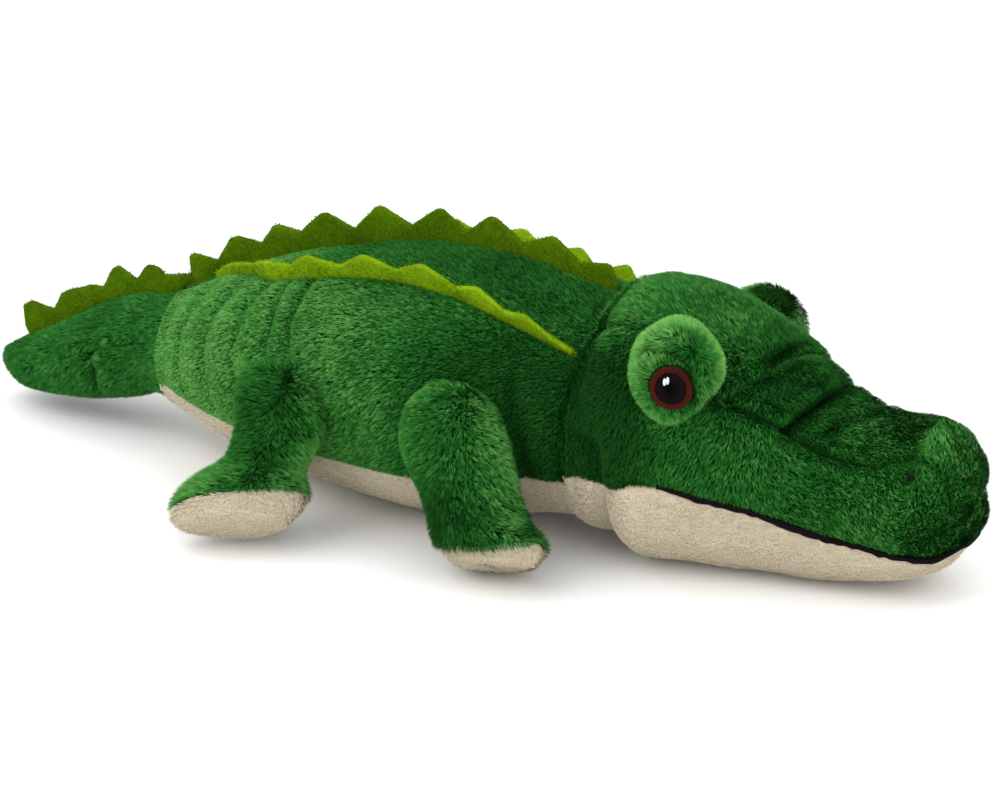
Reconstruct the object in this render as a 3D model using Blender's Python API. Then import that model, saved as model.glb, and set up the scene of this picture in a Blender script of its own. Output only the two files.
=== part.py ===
"""Plush crocodile lying on its belly, as the pieces that a toy maker sews together.

The toy's nose points along +X, its left side along +Y, and it rests on the plane z = 0.
The origin lies on that plane under the middle of the toy's length. All sizes are in metres.

Fabric panels are padded plates that lie over loose stuffing, with a fine gap between
neighbours. The head turns on a ball-shaped neck, the tail swings in a ball-shaped socket,
and each leg swings on a round seat in the side of the body.
"""
import math

import bmesh
import bpy
import numpy as np
from mathutils import Matrix, Vector

MM = 0.001

# Fabric and clearances
FABRIC = 2.4 * MM
SEAM_GAP = 0.3 * MM
TURN_GAP = 0.4 * MM
BALL_GAP = 0.8 * MM
CUT_OVERRUN = 30.0 * MM
SHARP_ANGLE = math.radians(50.0)
PROBE_ANGLE = math.radians(1.0)

# Body
BODY_LENGTH = 191.0 * MM
BODY_HALF_WIDTH = 60.0 * MM
BODY_HALF_HEIGHT = 47.0 * MM
BODY_REAR_X = -122.2 * MM
NECK_BALL_RADIUS = 60.0 * MM
NECK_BALL_INSET = 37.3 * MM
SIDE_RIDGE_ANGLE = math.radians(51.0)
SPINE_LEAN = math.radians(8.0)
BELLY_SEAM_ANGLE = math.radians(27.0)
# Each row: share of the body's length, then centre height, half width and half height as
# shares of the body's half height, half width and half height
BODY_SECTION_SHARES = (
    (0.000, 0.872, 0.450, 0.532),
    (0.073, 0.915, 0.600, 0.650),
    (0.204, 0.979, 0.800, 0.830),
    (0.361, 1.048, 0.950, 0.963),
    (0.545, 1.074, 1.000, 1.087),
    (0.728, 1.085, 0.967, 1.109),
    (0.885, 1.133, 0.867, 0.984),
    (1.000, 1.128, 0.783, 0.872),
)
BODY_STATION_SHARES = (0.0, 0.035, 0.073, 0.13, 0.204, 0.28, 0.361, 0.45, 0.545,
                       0.64, 0.728, 0.81, 0.885, 0.945, 1.0)
RIDGE_FAN_SHARES = ((0.0, 0.16), (0.13, 0.20), (0.266, 0.51), (0.45, 0.59), (0.607, 0.67),
                    (0.74, 0.75), (0.85, 0.86), (1.0, 1.0))
# How far the back's middle seam lies to the left of the top, as shares of its greatest lean
SPINE_LEAN_SHARES = ((0.0, 0.0), (0.26, 0.25), (0.6, 1.0), (1.0, 1.0))

# Tail
TAIL_LENGTH = 95.0 * MM
TAIL_HALF_WIDTH = 23.5 * MM
TAIL_HALF_HEIGHT = 22.5 * MM
TAIL_BALL_RADIUS = 20.5 * MM
TAIL_BALL_SETBACK = 1.0 * MM
TAIL_COLUMNS = 16
SOCKET_SHARES = (0.2, 0.4, 0.6, 0.8, 1.0)
# Each row: share of the tail's length, centre height as a share of the body's half height,
# half width and half height as shares of the tail's own
TAIL_SECTION_SHARES = (
    (0.137, 0.851, 0.910, 0.889),
    (0.210, 0.815, 1.000, 0.990),
    (0.353, 0.723, 1.000, 0.956),
    (0.464, 0.652, 0.990, 0.898),
    (0.584, 0.574, 0.970, 0.778),
    (0.700, 0.504, 0.910, 0.653),
    (0.826, 0.443, 0.750, 0.502),
    (0.920, 0.421, 0.500, 0.347),
    (0.975, 0.415, 0.270, 0.200),
)
TAIL_TIP_HEIGHT_SHARE = 0.415
TAIL_BALL_ANGLES = tuple(math.radians(a) for a in (66.0, 42.0, 20.0, 0.0, -20.0))

# Head
HEAD_LENGTH = 145.0 * MM
HEAD_HALF_WIDTH = 52.0 * MM
HEAD_HALF_HEIGHT = 49.0 * MM
HEAD_REAR_SETBACK = 3.0 * MM
HEAD_YAW = math.radians(4.0)
HEAD_ROLL = math.radians(-4.0)
HEAD_COLUMNS = 20
JAW_FULLNESS_SHARE = 0.8
# Each row: share of the head's length, then centre height, half width and half height as
# shares of the head's half height, half width and half height
HEAD_SECTION_SHARES = (
    (0.000, 1.082, 0.942, 0.905),
    (0.100, 1.102, 1.000, 1.000),
    (0.220, 1.060, 0.990, 1.050),
    (0.356, 0.980, 0.895, 1.000),
    (0.476, 0.895, 0.775, 0.895),
    (0.604, 0.750, 0.675, 0.745),
    (0.738, 0.724, 0.610, 0.663),
    (0.852, 0.755, 0.570, 0.612),
    (0.930, 0.776, 0.460, 0.510),
    (0.975, 0.806, 0.290, 0.327),
)
HEAD_STATION_SHARES = (0.0, 0.05, 0.1, 0.16, 0.22, 0.29, 0.356, 0.416, 0.476, 0.54, 0.604,
                       0.67, 0.738, 0.8, 0.852, 0.9, 0.943, 0.975)
NOSE_HEIGHT_SHARE = 0.806
CROWN_SEAM_SHARES = ((-0.3, 0.50), (0.10, 0.58), (0.30, 0.66), (0.45, 0.50), (0.62, 0.40),
                     (0.85, 0.30), (1.30, 0.24))
MOUTH_REAR_HEIGHT = 37.0 * MM
MOUTH_FRONT_HEIGHT = 18.0 * MM
MOUTH_STRIP_WIDTH = 2.0 * MM
MOUTH_STRIP_RISE = 0.6 * MM
MOUTH_START_SHARE = 0.24

# Eyes, on padded mounds
MOUND_RADIUS = 18.5 * MM
MOUND_FORWARD_SHARE = 0.255
MOUND_OUT_SHARE = 0.83
MOUND_HEIGHT_SHARE = 1.575
MOUND_ROLL = math.radians(-5.0)
MOUND_SEGMENTS = 16
MOUND_RINGS = 10
EYE_AIM = (0.22, 0.97, -0.05)
IRIS_RADIUS = 8.6 * MM
PUPIL_RADIUS = 5.9 * MM
GLINT_RADIUS = 1.5 * MM
EMBROIDERY = 0.8 * MM
GLINT_TILT = math.radians(9.0)
EYE_SIDES = 16
GLINT_SIDES = 10

# Nostril stitches
NOSTRIL_RADIUS = 3.0 * MM
NOSTRIL_LENGTH_SHARE = 0.86
NOSTRIL_OUT_SHARE = 0.46
NOSTRIL_FLAT_SHARE = 0.62

# Felt ridges
FELT = 3.0 * MM
FELT_TOP_SHARE = 0.6
TOOTH_HEIGHT = 12.0 * MM
TOOTH_TIP = 2.0 * MM
STRIP_HEIGHT = 2.0 * MM
# Ridge rows: shares of the form's length at which the row starts and ends, and its teeth,
# each with its place and its height as a share of the full tooth
CENTRE_RIDGE_ENDS_SHARES = (0.004, 0.985)
CENTRE_TEETH_SHARES = ((0.03, 0.95), (0.116, 1.0), (0.209, 0.98), (0.329, 1.12),
                       (0.464, 1.12), (0.602, 1.0), (0.712, 0.98), (0.836, 0.85), (0.955, 0.7))
SIDE_RIDGE_ENDS_SHARES = (0.19, 0.955)
SIDE_TEETH_SHARES = ((0.27, 0.4), (0.38, 0.75), (0.518, 0.8), (0.665, 0.9), (0.785, 0.85),
                     (0.887, 0.55))
TAIL_RIDGE_ENDS_SHARES = (0.08, 0.965)
TAIL_TEETH_SHARES = ((0.203, 0.9), (0.34, 0.9), (0.48, 0.65), (0.63, 0.8), (0.84, 0.95))

# Legs. Seats are shares of the body's length and half height. Ring rows: forward, out and up
# from the seat's centre, then the two half widths, all as shares of the thigh's radius, and
# last how far the ring leans from level towards the sole's plane
FRONT_THIGH_RADIUS = 21.0 * MM
FRONT_SEAT_RADIUS = 19.5 * MM
FRONT_SEAT_SHARES = (0.817, 1.064)
FRONT_RING_SHARES = (
    (-0.12, 0.02, 0.93, 0.50, 0.42, 0.0),
    (-0.07, 0.08, 0.62, 0.84, 0.64, 0.0),
    (0.00, 0.14, 0.18, 1.00, 0.74, 0.0),
    (0.14, 0.18, -0.25, 1.05, 0.76, 0.15),
    (0.34, 0.26, -0.75, 1.07, 0.78, 0.4),
    (0.60, 0.36, -1.22, 1.09, 0.82, 0.7),
    (0.78, 0.45, -1.58, 1.10, 0.84, 0.95),
)
FRONT_CROWN_SHARES = (-0.14, -0.04, 1.17)
FRONT_SOLE_SHARES = (0.86, 0.50, -1.92)
FRONT_SOLE_LENGTH = 46.0 * MM
FRONT_SOLE_WIDTH = 36.0 * MM
FRONT_SOLE_TILT = math.radians(33.0)
FRONT_TOE_TURN = math.radians(0.0)
FRONT_TOE_LIFT = math.radians(12.0)
HIND_THIGH_RADIUS = 18.5 * MM
HIND_SEAT_RADIUS = 17.0 * MM
HIND_SEAT_SHARES = (0.429, 1.021)
HIND_RING_SHARES = (
    (-0.25, 0.00, 0.92, 0.52, 0.42, 0.0),
    (-0.14, 0.08, 0.58, 0.86, 0.66, 0.0),
    (-0.02, 0.14, 0.12, 1.00, 0.78, 0.0),
    (0.02, 0.32, -0.40, 1.02, 0.86, 0.15),
    (-0.06, 0.72, -0.95, 1.14, 0.92, 0.45),
    (-0.18, 1.20, -1.42, 1.30, 0.96, 0.8),
)
HIND_CROWN_SHARES = (-0.27, -0.04, 1.12)
HIND_SOLE_SHARES = (-0.27, 1.68, -1.89)
HIND_SOLE_LENGTH = 51.0 * MM
HIND_SOLE_WIDTH = 36.0 * MM
HIND_SOLE_TILT = math.radians(46.0)
HIND_TOE_TURN = math.radians(151.0)
HIND_TOE_LIFT = math.radians(0.0)
SEAT_DEPTH = 11.0 * MM
# Beyond the seat, the legs' inner sides draw in with the distance from the seat's axis: rows
# of distance as a share of the thigh's radius, and draw as a share of the seat's depth
LIMIT_REACH_SHARE = 4.0
LIMIT_DRAW_SHARES = ((4.0, 1.3), (2.1, 0.6), (1.55, 0.0))
LEG_COLUMNS = 12
SEAT_SIDES = 28

# Colours
PILE_GREEN = (0.06, 0.20, 0.08)
BACK_GREEN = (0.08, 0.23, 0.09)
CREAM = (0.62, 0.55, 0.44)
FELT_OLIVE = (0.13, 0.25, 0.01)
FIBRE_WHITE = (0.80, 0.80, 0.78)
THREAD_BLACK = (0.01, 0.01, 0.01)
IRIS_BROWN = (0.18, 0.03, 0.01)
GLINT_WHITE = (0.85, 0.85, 0.82)


def clear_scene():
    """Remove every object that the new file starts with."""
    for item in list(bpy.data.objects):
        bpy.data.objects.remove(item, do_unlink=True)


def fabric_material(name, colour, roughness=0.9):
    """Make a Principled material with one plain colour."""
    material = bpy.data.materials.new(name)
    material.use_nodes = True
    shader = material.node_tree.nodes["Principled BSDF"]
    shader.inputs["Base Color"].default_value = (*colour, 1.0)
    shader.inputs["Roughness"].default_value = roughness
    shader.inputs["Metallic"].default_value = 0.0
    return material


def smooth_rows(rows, share):
    """Read a table at a share of its length, along a smooth curve through its rows."""
    places = [row[0] for row in rows]
    share = min(max(share, places[0]), places[-1])
    last = len(rows) - 1
    k = min(max(sum(place <= share for place in places) - 1, 0), last - 1)
    values = np.array([row[1:] for row in rows], dtype=float)

    def slope(i):
        low = max(i - 1, 0)
        high = min(i + 1, last)
        return (values[high] - values[low]) / (places[high] - places[low])

    span = places[k + 1] - places[k]
    t = (share - places[k]) / span
    start = (2 * t**3 - 3 * t**2 + 1) * values[k] + (t**3 - 2 * t**2 + t) * span * slope(k)
    end = (3 * t**2 - 2 * t**3) * values[k + 1] + (t**3 - t**2) * span * slope(k + 1)
    return start + end


class Form:
    """A swelling form: oval rings along X, with an optional ball-shaped end and a tip."""

    def __init__(self, rings, ball=None, ball_ring=None, tip=None, place=None, fullness=1.0):
        """Keep the rings as (x, centre height, half width, half height).

        ball is (centre, radius) and the ring numbered ball_ring lies on it. place moves the
        finished points, and the floor flattens what it brings below z = 0. A fullness under
        one makes the lower half of each ring squarer.
        """
        self.fullness = fullness
        self.rings = rings
        self.ball = ball
        self.ball_ring = ball_ring
        self.tip = tip
        self.place = place or Matrix.Identity(4)

    def raw(self, i, angle):
        """Return the point of ring i at an angle, counted from +Y over the top."""
        x, height, half_width, half_height = self.rings[i]
        across = math.cos(angle)
        if math.sin(angle) < 0.0:
            across = math.copysign(abs(across) ** self.fullness, across)
        return Vector((x, half_width * across, height + half_height * math.sin(angle)))

    def seat_on_ball(self, point):
        """Slide a point along X onto the ball."""
        centre, radius = self.ball
        rise = radius**2 - (point.y - centre.y) ** 2 - (point.z - centre.z) ** 2
        return Vector((centre.x + math.sqrt(max(rise, 0.0)), point.y, point.z))

    def surface(self, i, angle):
        """Return ring i's point, on the ball where the ring lies on it."""
        point = self.raw(i, angle)
        return self.seat_on_ball(point) if i == self.ball_ring else point

    def normal(self, i, angle):
        """Return the outward direction at a point of ring i."""
        step = PROBE_ANGLE
        last = len(self.rings) - 1
        before = self.surface(max(i - 1, 0), angle)
        after = self.surface(min(i + 1, last), angle)
        if i == last and self.tip is not None:
            after = self.tip
        along = after - before
        across = self.surface(i, angle + step) - self.surface(i, angle - step)
        outward = across.cross(along)
        return outward.normalized()

    def point(self, i, angle, depth=0.0):
        """Return the placed point at a depth under the surface, kept off the floor."""
        inner = self.surface(i, angle) - self.normal(i, angle) * depth
        if i == self.ball_ring:
            inner = self.seat_on_ball(inner)
        return self.settle(inner, depth)

    def settle(self, point, depth):
        """Place a point and keep it a depth above the floor."""
        placed = self.place @ point
        placed.z = max(placed.z, depth)
        return placed

    def tip_point(self, depth=0.0):
        """Return the tip at a depth under it."""
        x_inward = math.copysign(depth, self.tip.x - self.rings[0][0])
        return self.settle(self.tip - Vector((x_inward, 0.0, 0.0)), depth)


def add_rings(bm, rings, closed):
    """Join rings of points with triangles and return the rings' vertices."""
    made = [[bm.verts.new(point) for point in ring] for ring in rings]
    for low, high in zip(made, made[1:]):
        count = len(low)
        for k in range(count if closed else count - 1):
            n = (k + 1) % count
            bm.faces.new((low[k], low[n], high[n]))
            bm.faces.new((low[k], high[n], high[k]))
    return made


def add_fan(bm, ring, tip):
    """Close a ring of vertices with triangles to one point."""
    centre = bm.verts.new(tip)
    for k, vertex in enumerate(ring):
        bm.faces.new((vertex, ring[(k + 1) % len(ring)], centre))


def finish_object(name, bm, material, origin=None, smooth=True):
    """Turn a bmesh into a named object whose origin is at the given point."""
    bmesh.ops.recalc_face_normals(bm, faces=bm.faces)
    origin = origin or Vector((0.0, 0.0, 0.0))
    bmesh.ops.translate(bm, verts=bm.verts, vec=-origin)
    mesh = bpy.data.meshes.new(name)
    bm.to_mesh(mesh)
    bm.free()
    if smooth:
        mesh.shade_smooth()
        mesh.set_sharp_from_angle(angle=SHARP_ANGLE)
    if material is not None:
        mesh.materials.append(material)
    item = bpy.data.objects.new(name, mesh)
    item.location = origin
    bpy.context.scene.collection.objects.link(item)
    return item


def as_cutter(item):
    """Hide a shape that only cuts or bounds other shapes."""
    item.hide_render = True
    item.display_type = "WIRE"
    return item


def add_boolean(item, other, operation):
    """Cut or bound one object by another."""
    modifier = item.modifiers.new(other.name, "BOOLEAN")
    modifier.operation = operation
    modifier.solver = "EXACT"
    modifier.object = other


def plate_panel(name, form, columns, material, rings=None, first_gap=True, last_gap=True):
    """Make a padded plate over some rings, between two seams given by angle lists."""
    bm = bmesh.new()
    numbers = rings or range(len(form.rings))
    layers = []
    for depth in (0.0, FABRIC):
        grid = []
        for i in numbers:
            angles = list(columns(i))
            radius = (form.raw(i, angles[0]) - form.raw(i, angles[0] + math.pi)).length / 2
            trim = SEAM_GAP / 2 / radius
            angles[0] += trim if first_gap else 0.0
            angles[-1] -= trim if last_gap else 0.0
            grid.append([form.point(i, angle, depth) for angle in angles])
        layers.append(add_rings(bm, grid, closed=False))
    outer, inner = layers
    for rows in (0, -1):
        for k in range(len(outer[rows]) - 1):
            bm.faces.new((outer[rows][k], outer[rows][k + 1], inner[rows][k + 1]))
            bm.faces.new((outer[rows][k], inner[rows][k + 1], inner[rows][k]))
    for side in (0, -1):
        for low in range(len(outer) - 1):
            bm.faces.new((outer[low][side], outer[low + 1][side], inner[low + 1][side]))
            bm.faces.new((outer[low][side], inner[low + 1][side], inner[low][side]))
    return finish_object(name, bm, material)


def spread(start, end, count):
    """Return evenly spaced values from start to end, both included."""
    return [start + (end - start) * k / count for k in range(count + 1)]


# Body


def body_share(share):
    """Return one body ring's x, centre height, half width and half height."""
    height, half_width, half_height = smooth_rows(BODY_SECTION_SHARES, share)
    return (BODY_REAR_X + share * BODY_LENGTH, height * BODY_HALF_HEIGHT,
            half_width * BODY_HALF_WIDTH, half_height * BODY_HALF_HEIGHT)


NECK_X = BODY_REAR_X + BODY_LENGTH
NECK_HEIGHT = BODY_SECTION_SHARES[-1][1] * BODY_HALF_HEIGHT
NECK_CENTRE = Vector((NECK_X - NECK_BALL_INSET, 0.0, NECK_HEIGHT))
TAIL_CENTRE = Vector((BODY_REAR_X - TAIL_BALL_SETBACK, 0.0,
                      BODY_SECTION_SHARES[0][1] * BODY_HALF_HEIGHT))


def make_body_form():
    """Return the body's form, its front ring lying on the neck's ball."""
    rings = [body_share(share) for share in BODY_STATION_SHARES]
    return Form(rings, ball=(NECK_CENTRE, NECK_BALL_RADIUS), ball_ring=len(rings) - 1)


def read_shares(table, share):
    """Read a table of two columns at a share, along straight lines."""
    return float(np.interp(share, [row[0] for row in table], [row[1] for row in table]))


def ridge_angle(i):
    """Return how far a side ridge lies from the middle seam at body ring i."""
    return SIDE_RIDGE_ANGLE * read_shares(RIDGE_FAN_SHARES, BODY_STATION_SHARES[i])


def spine_angle(i):
    """Return where the middle seam lies at body ring i."""
    return TOP - SPINE_LEAN * read_shares(SPINE_LEAN_SHARES, BODY_STATION_SHARES[i])


TOP = math.pi / 2
BOTTOM = 3 * math.pi / 2
BACK_COLUMNS = 2
SIDE_COLUMNS = 5
BELLY_COLUMNS = 7


def left_back_angles(i):
    """Angles of the back panel on the toy's left."""
    return spread(spine_angle(i) - ridge_angle(i), spine_angle(i), BACK_COLUMNS)


def right_back_angles(i):
    """Angles of the back panel on the toy's right."""
    return spread(spine_angle(i), spine_angle(i) + ridge_angle(i), BACK_COLUMNS)


def left_side_angles(i):
    """Angles of the side panel on the toy's left."""
    return spread(-BELLY_SEAM_ANGLE, spine_angle(i) - ridge_angle(i), SIDE_COLUMNS)


def right_side_angles(i):
    """Angles of the side panel on the toy's right."""
    return spread(spine_angle(i) + ridge_angle(i), math.pi + BELLY_SEAM_ANGLE, SIDE_COLUMNS)


def belly_angles(i):
    """Angles of the belly panel."""
    return spread(math.pi + BELLY_SEAM_ANGLE, 2 * math.pi - BELLY_SEAM_ANGLE, BELLY_COLUMNS)


def body_angles(i):
    """All angles round the body at ring i, each once."""
    parts = (left_side_angles(i), left_back_angles(i), right_back_angles(i),
             right_side_angles(i), belly_angles(i))
    return [angle for part in parts for angle in part[:-1]]


BALL_CAP_SHARES = (0.84, 0.67, 0.5, 0.33, 0.16)


def make_body(form, pile, back, cream, fibre, seats):
    """Make the body's panels and its stuffing, with the leg seats cut into its sides."""
    plate_panel("back_panel_left", form, left_back_angles, back)
    plate_panel("back_panel_right", form, right_back_angles, back)
    plate_panel("belly_panel", form, belly_angles, cream)
    left = plate_panel("side_panel_left", form, left_side_angles, pile)
    right = plate_panel("side_panel_right", form, right_side_angles, pile)

    bm = bmesh.new()
    depth = FABRIC + SEAM_GAP
    rings = socket_rings(form, depth)
    rings += [[form.point(i, angle, depth) for angle in body_angles(i)]
              for i in range(len(form.rings))]
    front = rings[-1]
    for share in BALL_CAP_SHARES:
        ring = []
        for point in front:
            level = Vector((point.x, point.y * share,
                            NECK_CENTRE.z + (point.z - NECK_CENTRE.z) * share))
            ring.append(form.seat_on_ball(level))
        rings.append(ring)
    made = add_rings(bm, rings, closed=True)
    add_fan(bm, made[0], TAIL_CENTRE + Vector((TAIL_BALL_RADIUS + BALL_GAP, 0.0, 0.0)))
    add_fan(bm, made[-1], NECK_CENTRE + Vector((NECK_BALL_RADIUS, 0.0, 0.0)))
    stuffing = finish_object("body_stuffing", bm, fibre)
    for side, seat in seats:
        add_boolean(left if side > 0 else right, seat, "DIFFERENCE")
        add_boolean(stuffing, seat, "DIFFERENCE")


def socket_rings(form, depth):
    """Return the rings of the hollow that holds the tail's ball, deepest first."""
    radius = TAIL_BALL_RADIUS + BALL_GAP
    rim_x = BODY_REAR_X - TAIL_CENTRE.x
    rim_angle = math.acos(rim_x / radius)
    angles = body_angles(0)
    rings = []
    for share in SOCKET_SHARES:
        polar = rim_angle * share
        spoke = radius * math.sin(polar)
        x = TAIL_CENTRE.x + radius * math.cos(polar)
        rings.append([Vector((x, spoke * math.cos(a), TAIL_CENTRE.z + spoke * math.sin(a)))
                      for a in angles])
    return rings


# Tail


def make_tail_form():
    """Return the tail's form: a ball at its root, then the swelling tail, back to its tip."""
    rings = []
    for angle in TAIL_BALL_ANGLES:
        spoke = TAIL_BALL_RADIUS * math.cos(angle)
        rings.append((TAIL_CENTRE.x + TAIL_BALL_RADIUS * math.sin(angle), TAIL_CENTRE.z,
                      spoke, spoke))
    for share, height, half_width, half_height in TAIL_SECTION_SHARES:
        rings.append((TAIL_CENTRE.x - share * TAIL_LENGTH, height * BODY_HALF_HEIGHT,
                      half_width * TAIL_HALF_WIDTH, half_height * TAIL_HALF_HEIGHT))
    tip = Vector((TAIL_CENTRE.x - TAIL_LENGTH, 0.0, TAIL_TIP_HEIGHT_SHARE * BODY_HALF_HEIGHT))
    form = Form(rings, tip=tip)
    forward = form.normal
    form.normal = lambda i, angle: -forward(i, angle)
    return form


def make_tail(form, back, fibre):
    """Make the tail's two panels and its stuffing."""
    half = TAIL_COLUMNS // 2
    plate_panel("tail_panel_left", form, lambda i: spread(-TOP, TOP, half), back)
    plate_panel("tail_panel_right", form, lambda i: spread(TOP, BOTTOM, half), back)
    bm = bmesh.new()
    depth = FABRIC + SEAM_GAP
    angles = spread(-TOP, BOTTOM, TAIL_COLUMNS)[:-1]
    rings = [[form.point(i, angle, depth) for angle in angles]
             for i in range(len(form.rings))]
    made = add_rings(bm, rings, closed=True)
    root = TAIL_CENTRE + Vector((TAIL_BALL_RADIUS - depth, 0.0, 0.0))
    add_fan(bm, made[0], root)
    add_fan(bm, made[-1], form.tip_point(depth))
    item = finish_object("tail_stuffing", bm, fibre)
    return item


# Head


def head_share(share):
    """Return one head ring's x, centre height, half width and half height."""
    height, half_width, half_height = smooth_rows(HEAD_SECTION_SHARES, share)
    return (NECK_X + HEAD_REAR_SETBACK + share * HEAD_LENGTH, height * HEAD_HALF_HEIGHT,
            half_width * HEAD_HALF_WIDTH, half_height * HEAD_HALF_HEIGHT)


def head_place():
    """Return how the head leans: a roll and a yaw about the neck ball's centre."""
    turn = Matrix.Rotation(HEAD_YAW, 4, "Z") @ Matrix.Rotation(HEAD_ROLL, 4, "X")
    return Matrix.Translation(NECK_CENTRE) @ turn @ Matrix.Translation(-NECK_CENTRE)


def make_head_form():
    """Return the head's form, its rear ring lying on the neck's ball, with its lean."""
    rings = [head_share(share) for share in HEAD_STATION_SHARES]
    nose = Vector((NECK_X + HEAD_REAR_SETBACK + HEAD_LENGTH, 0.0,
                   NOSE_HEIGHT_SHARE * HEAD_HALF_HEIGHT))
    return Form(rings, ball=(NECK_CENTRE, NECK_BALL_RADIUS + BALL_GAP), ball_ring=0,
                tip=nose, place=head_place(), fullness=JAW_FULLNESS_SHARE)


def head_rings(form, depth):
    """Return the head's rings at a depth under its surface."""
    angles = spread(0.0, 2 * math.pi, HEAD_COLUMNS)[:-1]
    return [[form.point(i, angle, depth) for angle in angles]
            for i in range(len(form.rings))]


def head_shell(name, form, rise, material):
    """Make the head's whole skin as a cup that is open at the neck."""
    bm = bmesh.new()
    outer = add_rings(bm, head_rings(form, -rise), closed=True)
    add_fan(bm, outer[-1], form.tip_point(-rise))
    inner = add_rings(bm, head_rings(form, FABRIC), closed=True)
    add_fan(bm, inner[-1], form.tip_point(FABRIC))
    for k, vertex in enumerate(outer[0]):
        n = (k + 1) % len(outer[0])
        bm.faces.new((vertex, outer[0][n], inner[0][n]))
        bm.faces.new((vertex, inner[0][n], inner[0][k]))
    return finish_object(name, bm, material)


def head_core(name, form, depth, material):
    """Make the head's solid at a depth under its surface, hollow where the neck enters."""
    bm = bmesh.new()
    made = add_rings(bm, head_rings(form, depth), closed=True)
    add_fan(bm, made[-1], form.tip_point(depth))
    rear = [form.place.inverted() @ vertex.co for vertex in made[0]]
    rings = [made[0]]
    for share in BALL_CAP_SHARES:
        ring = []
        for point in rear:
            level = Vector((point.x, point.y * share,
                            NECK_CENTRE.z + (point.z - NECK_CENTRE.z) * share))
            ring.append(bm.verts.new(form.place @ form.seat_on_ball(level)))
        rings.append(ring)
    for low, high in zip(rings, rings[1:]):
        for k, vertex in enumerate(low):
            n = (k + 1) % len(low)
            bm.faces.new((vertex, low[n], high[n]))
            bm.faces.new((vertex, high[n], high[k]))
    radius = NECK_BALL_RADIUS + BALL_GAP
    add_fan(bm, rings[-1], form.place @ (NECK_CENTRE + Vector((radius, 0.0, 0.0))))
    return finish_object(name, bm, material)


def mouth_height(x):
    """Return the mouth seam's height at a place along the head."""
    share = (x - NECK_X - HEAD_REAR_SETBACK) / HEAD_LENGTH
    return MOUTH_REAR_HEIGHT + (MOUTH_FRONT_HEIGHT - MOUTH_REAR_HEIGHT) * share


def head_slab(name, x_start, below, above):
    """Make a cutter between two heights from the mouth seam, leaning as the head does."""
    x_end = NECK_X + HEAD_REAR_SETBACK + HEAD_LENGTH + CUT_OVERRUN
    half_width = HEAD_HALF_WIDTH + CUT_OVERRUN
    bm = bmesh.new()
    rings = []
    for x in (x_start, x_end):
        seam = mouth_height(x)
        rings.append([Vector((x, y, z)) for y, z in (
            (-half_width, seam + below), (half_width, seam + below),
            (half_width, seam + above), (-half_width, seam + above))])
    made = add_rings(bm, rings, closed=True)
    bm.faces.new(made[0])
    bm.faces.new(made[-1])
    bmesh.ops.transform(bm, matrix=head_place(), verts=bm.verts)
    return as_cutter(finish_object(name, bm, None, smooth=False))


def crown_prism(name, gap, side):
    """Make an upright cutter over the crown strip, or over one cheek beside it."""
    bm = bmesh.new()
    near = []
    for share, half_width_share in CROWN_SEAM_SHARES:
        x = NECK_X + HEAD_REAR_SETBACK + share * HEAD_LENGTH
        near.append((x, half_width_share * HEAD_HALF_WIDTH + gap))
    if side == 0:
        outline = [(x, y) for x, y in near] + [(x, -y) for x, y in reversed(near)]
    else:
        far = HEAD_HALF_WIDTH + CUT_OVERRUN
        outline = [(x, side * y) for x, y in near]
        outline += [(near[-1][0], side * far), (near[0][0], side * far)]
    top = HEAD_HALF_HEIGHT * 2 + CUT_OVERRUN
    rings = [[Vector((x, y, z)) for x, y in outline] for z in (-CUT_OVERRUN, top)]
    made = add_rings(bm, rings, closed=True)
    bm.faces.new(made[0])
    bm.faces.new(made[-1])
    bmesh.ops.triangulate(bm, faces=bm.faces)
    bmesh.ops.transform(bm, matrix=head_place(), verts=bm.verts)
    return as_cutter(finish_object(name, bm, None, smooth=False))


def make_head(form, pile, back, cream, black, fibre):
    """Make the head's panels, the mouth strip and the stuffing."""
    half = MOUTH_STRIP_WIDTH / 2
    depth = HEAD_HALF_HEIGHT * 2
    x_all = NECK_CENTRE.x
    x_mouth = NECK_X + HEAD_REAR_SETBACK + MOUTH_START_SHARE * HEAD_LENGTH
    under = head_slab("cut_under_mouth", x_all, -depth, half + SEAM_GAP)
    jaw_room = head_slab("keep_jaw", x_all, -depth, -half)
    strip_room = head_slab("keep_mouth_strip", x_mouth, SEAM_GAP - half, half)
    pieces = (("head_top_panel", back, 0, 0.0), ("cheek_panel_left", pile, 1, SEAM_GAP),
              ("cheek_panel_right", pile, -1, SEAM_GAP))
    for name, material, side, gap in pieces:
        panel = head_shell(name, form, 0.0, material)
        add_boolean(panel, crown_prism("keep_" + name, gap, side), "INTERSECT")
        add_boolean(panel, under, "DIFFERENCE")
    jaw = head_shell("jaw_panel", form, 0.0, cream)
    add_boolean(jaw, jaw_room, "INTERSECT")
    strip = head_shell("mouth_strip", form, MOUTH_STRIP_RISE, black)
    add_boolean(strip, strip_room, "INTERSECT")
    head_core("head_stuffing", form, FABRIC + SEAM_GAP, fibre)


def mound_centre(side):
    """Return the centre of one eye mound; the soft crown leans further than the jaw."""
    out = side * MOUND_OUT_SHARE * HEAD_HALF_WIDTH
    rise = MOUND_HEIGHT_SHARE * HEAD_HALF_HEIGHT - NECK_CENTRE.z
    x = NECK_X + HEAD_REAR_SETBACK + MOUND_FORWARD_SHARE * HEAD_LENGTH
    leaned = Matrix.Rotation(MOUND_ROLL, 4, "X") @ Vector((0.0, out, rise))
    return head_place() @ Vector((x, leaned.y, NECK_CENTRE.z + leaned.z))


def aim_matrix(centre, direction):
    """Return a frame at centre whose Z points along direction."""
    return Matrix.Translation(centre) @ direction.to_track_quat("Z", "Y").to_matrix().to_4x4()


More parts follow.
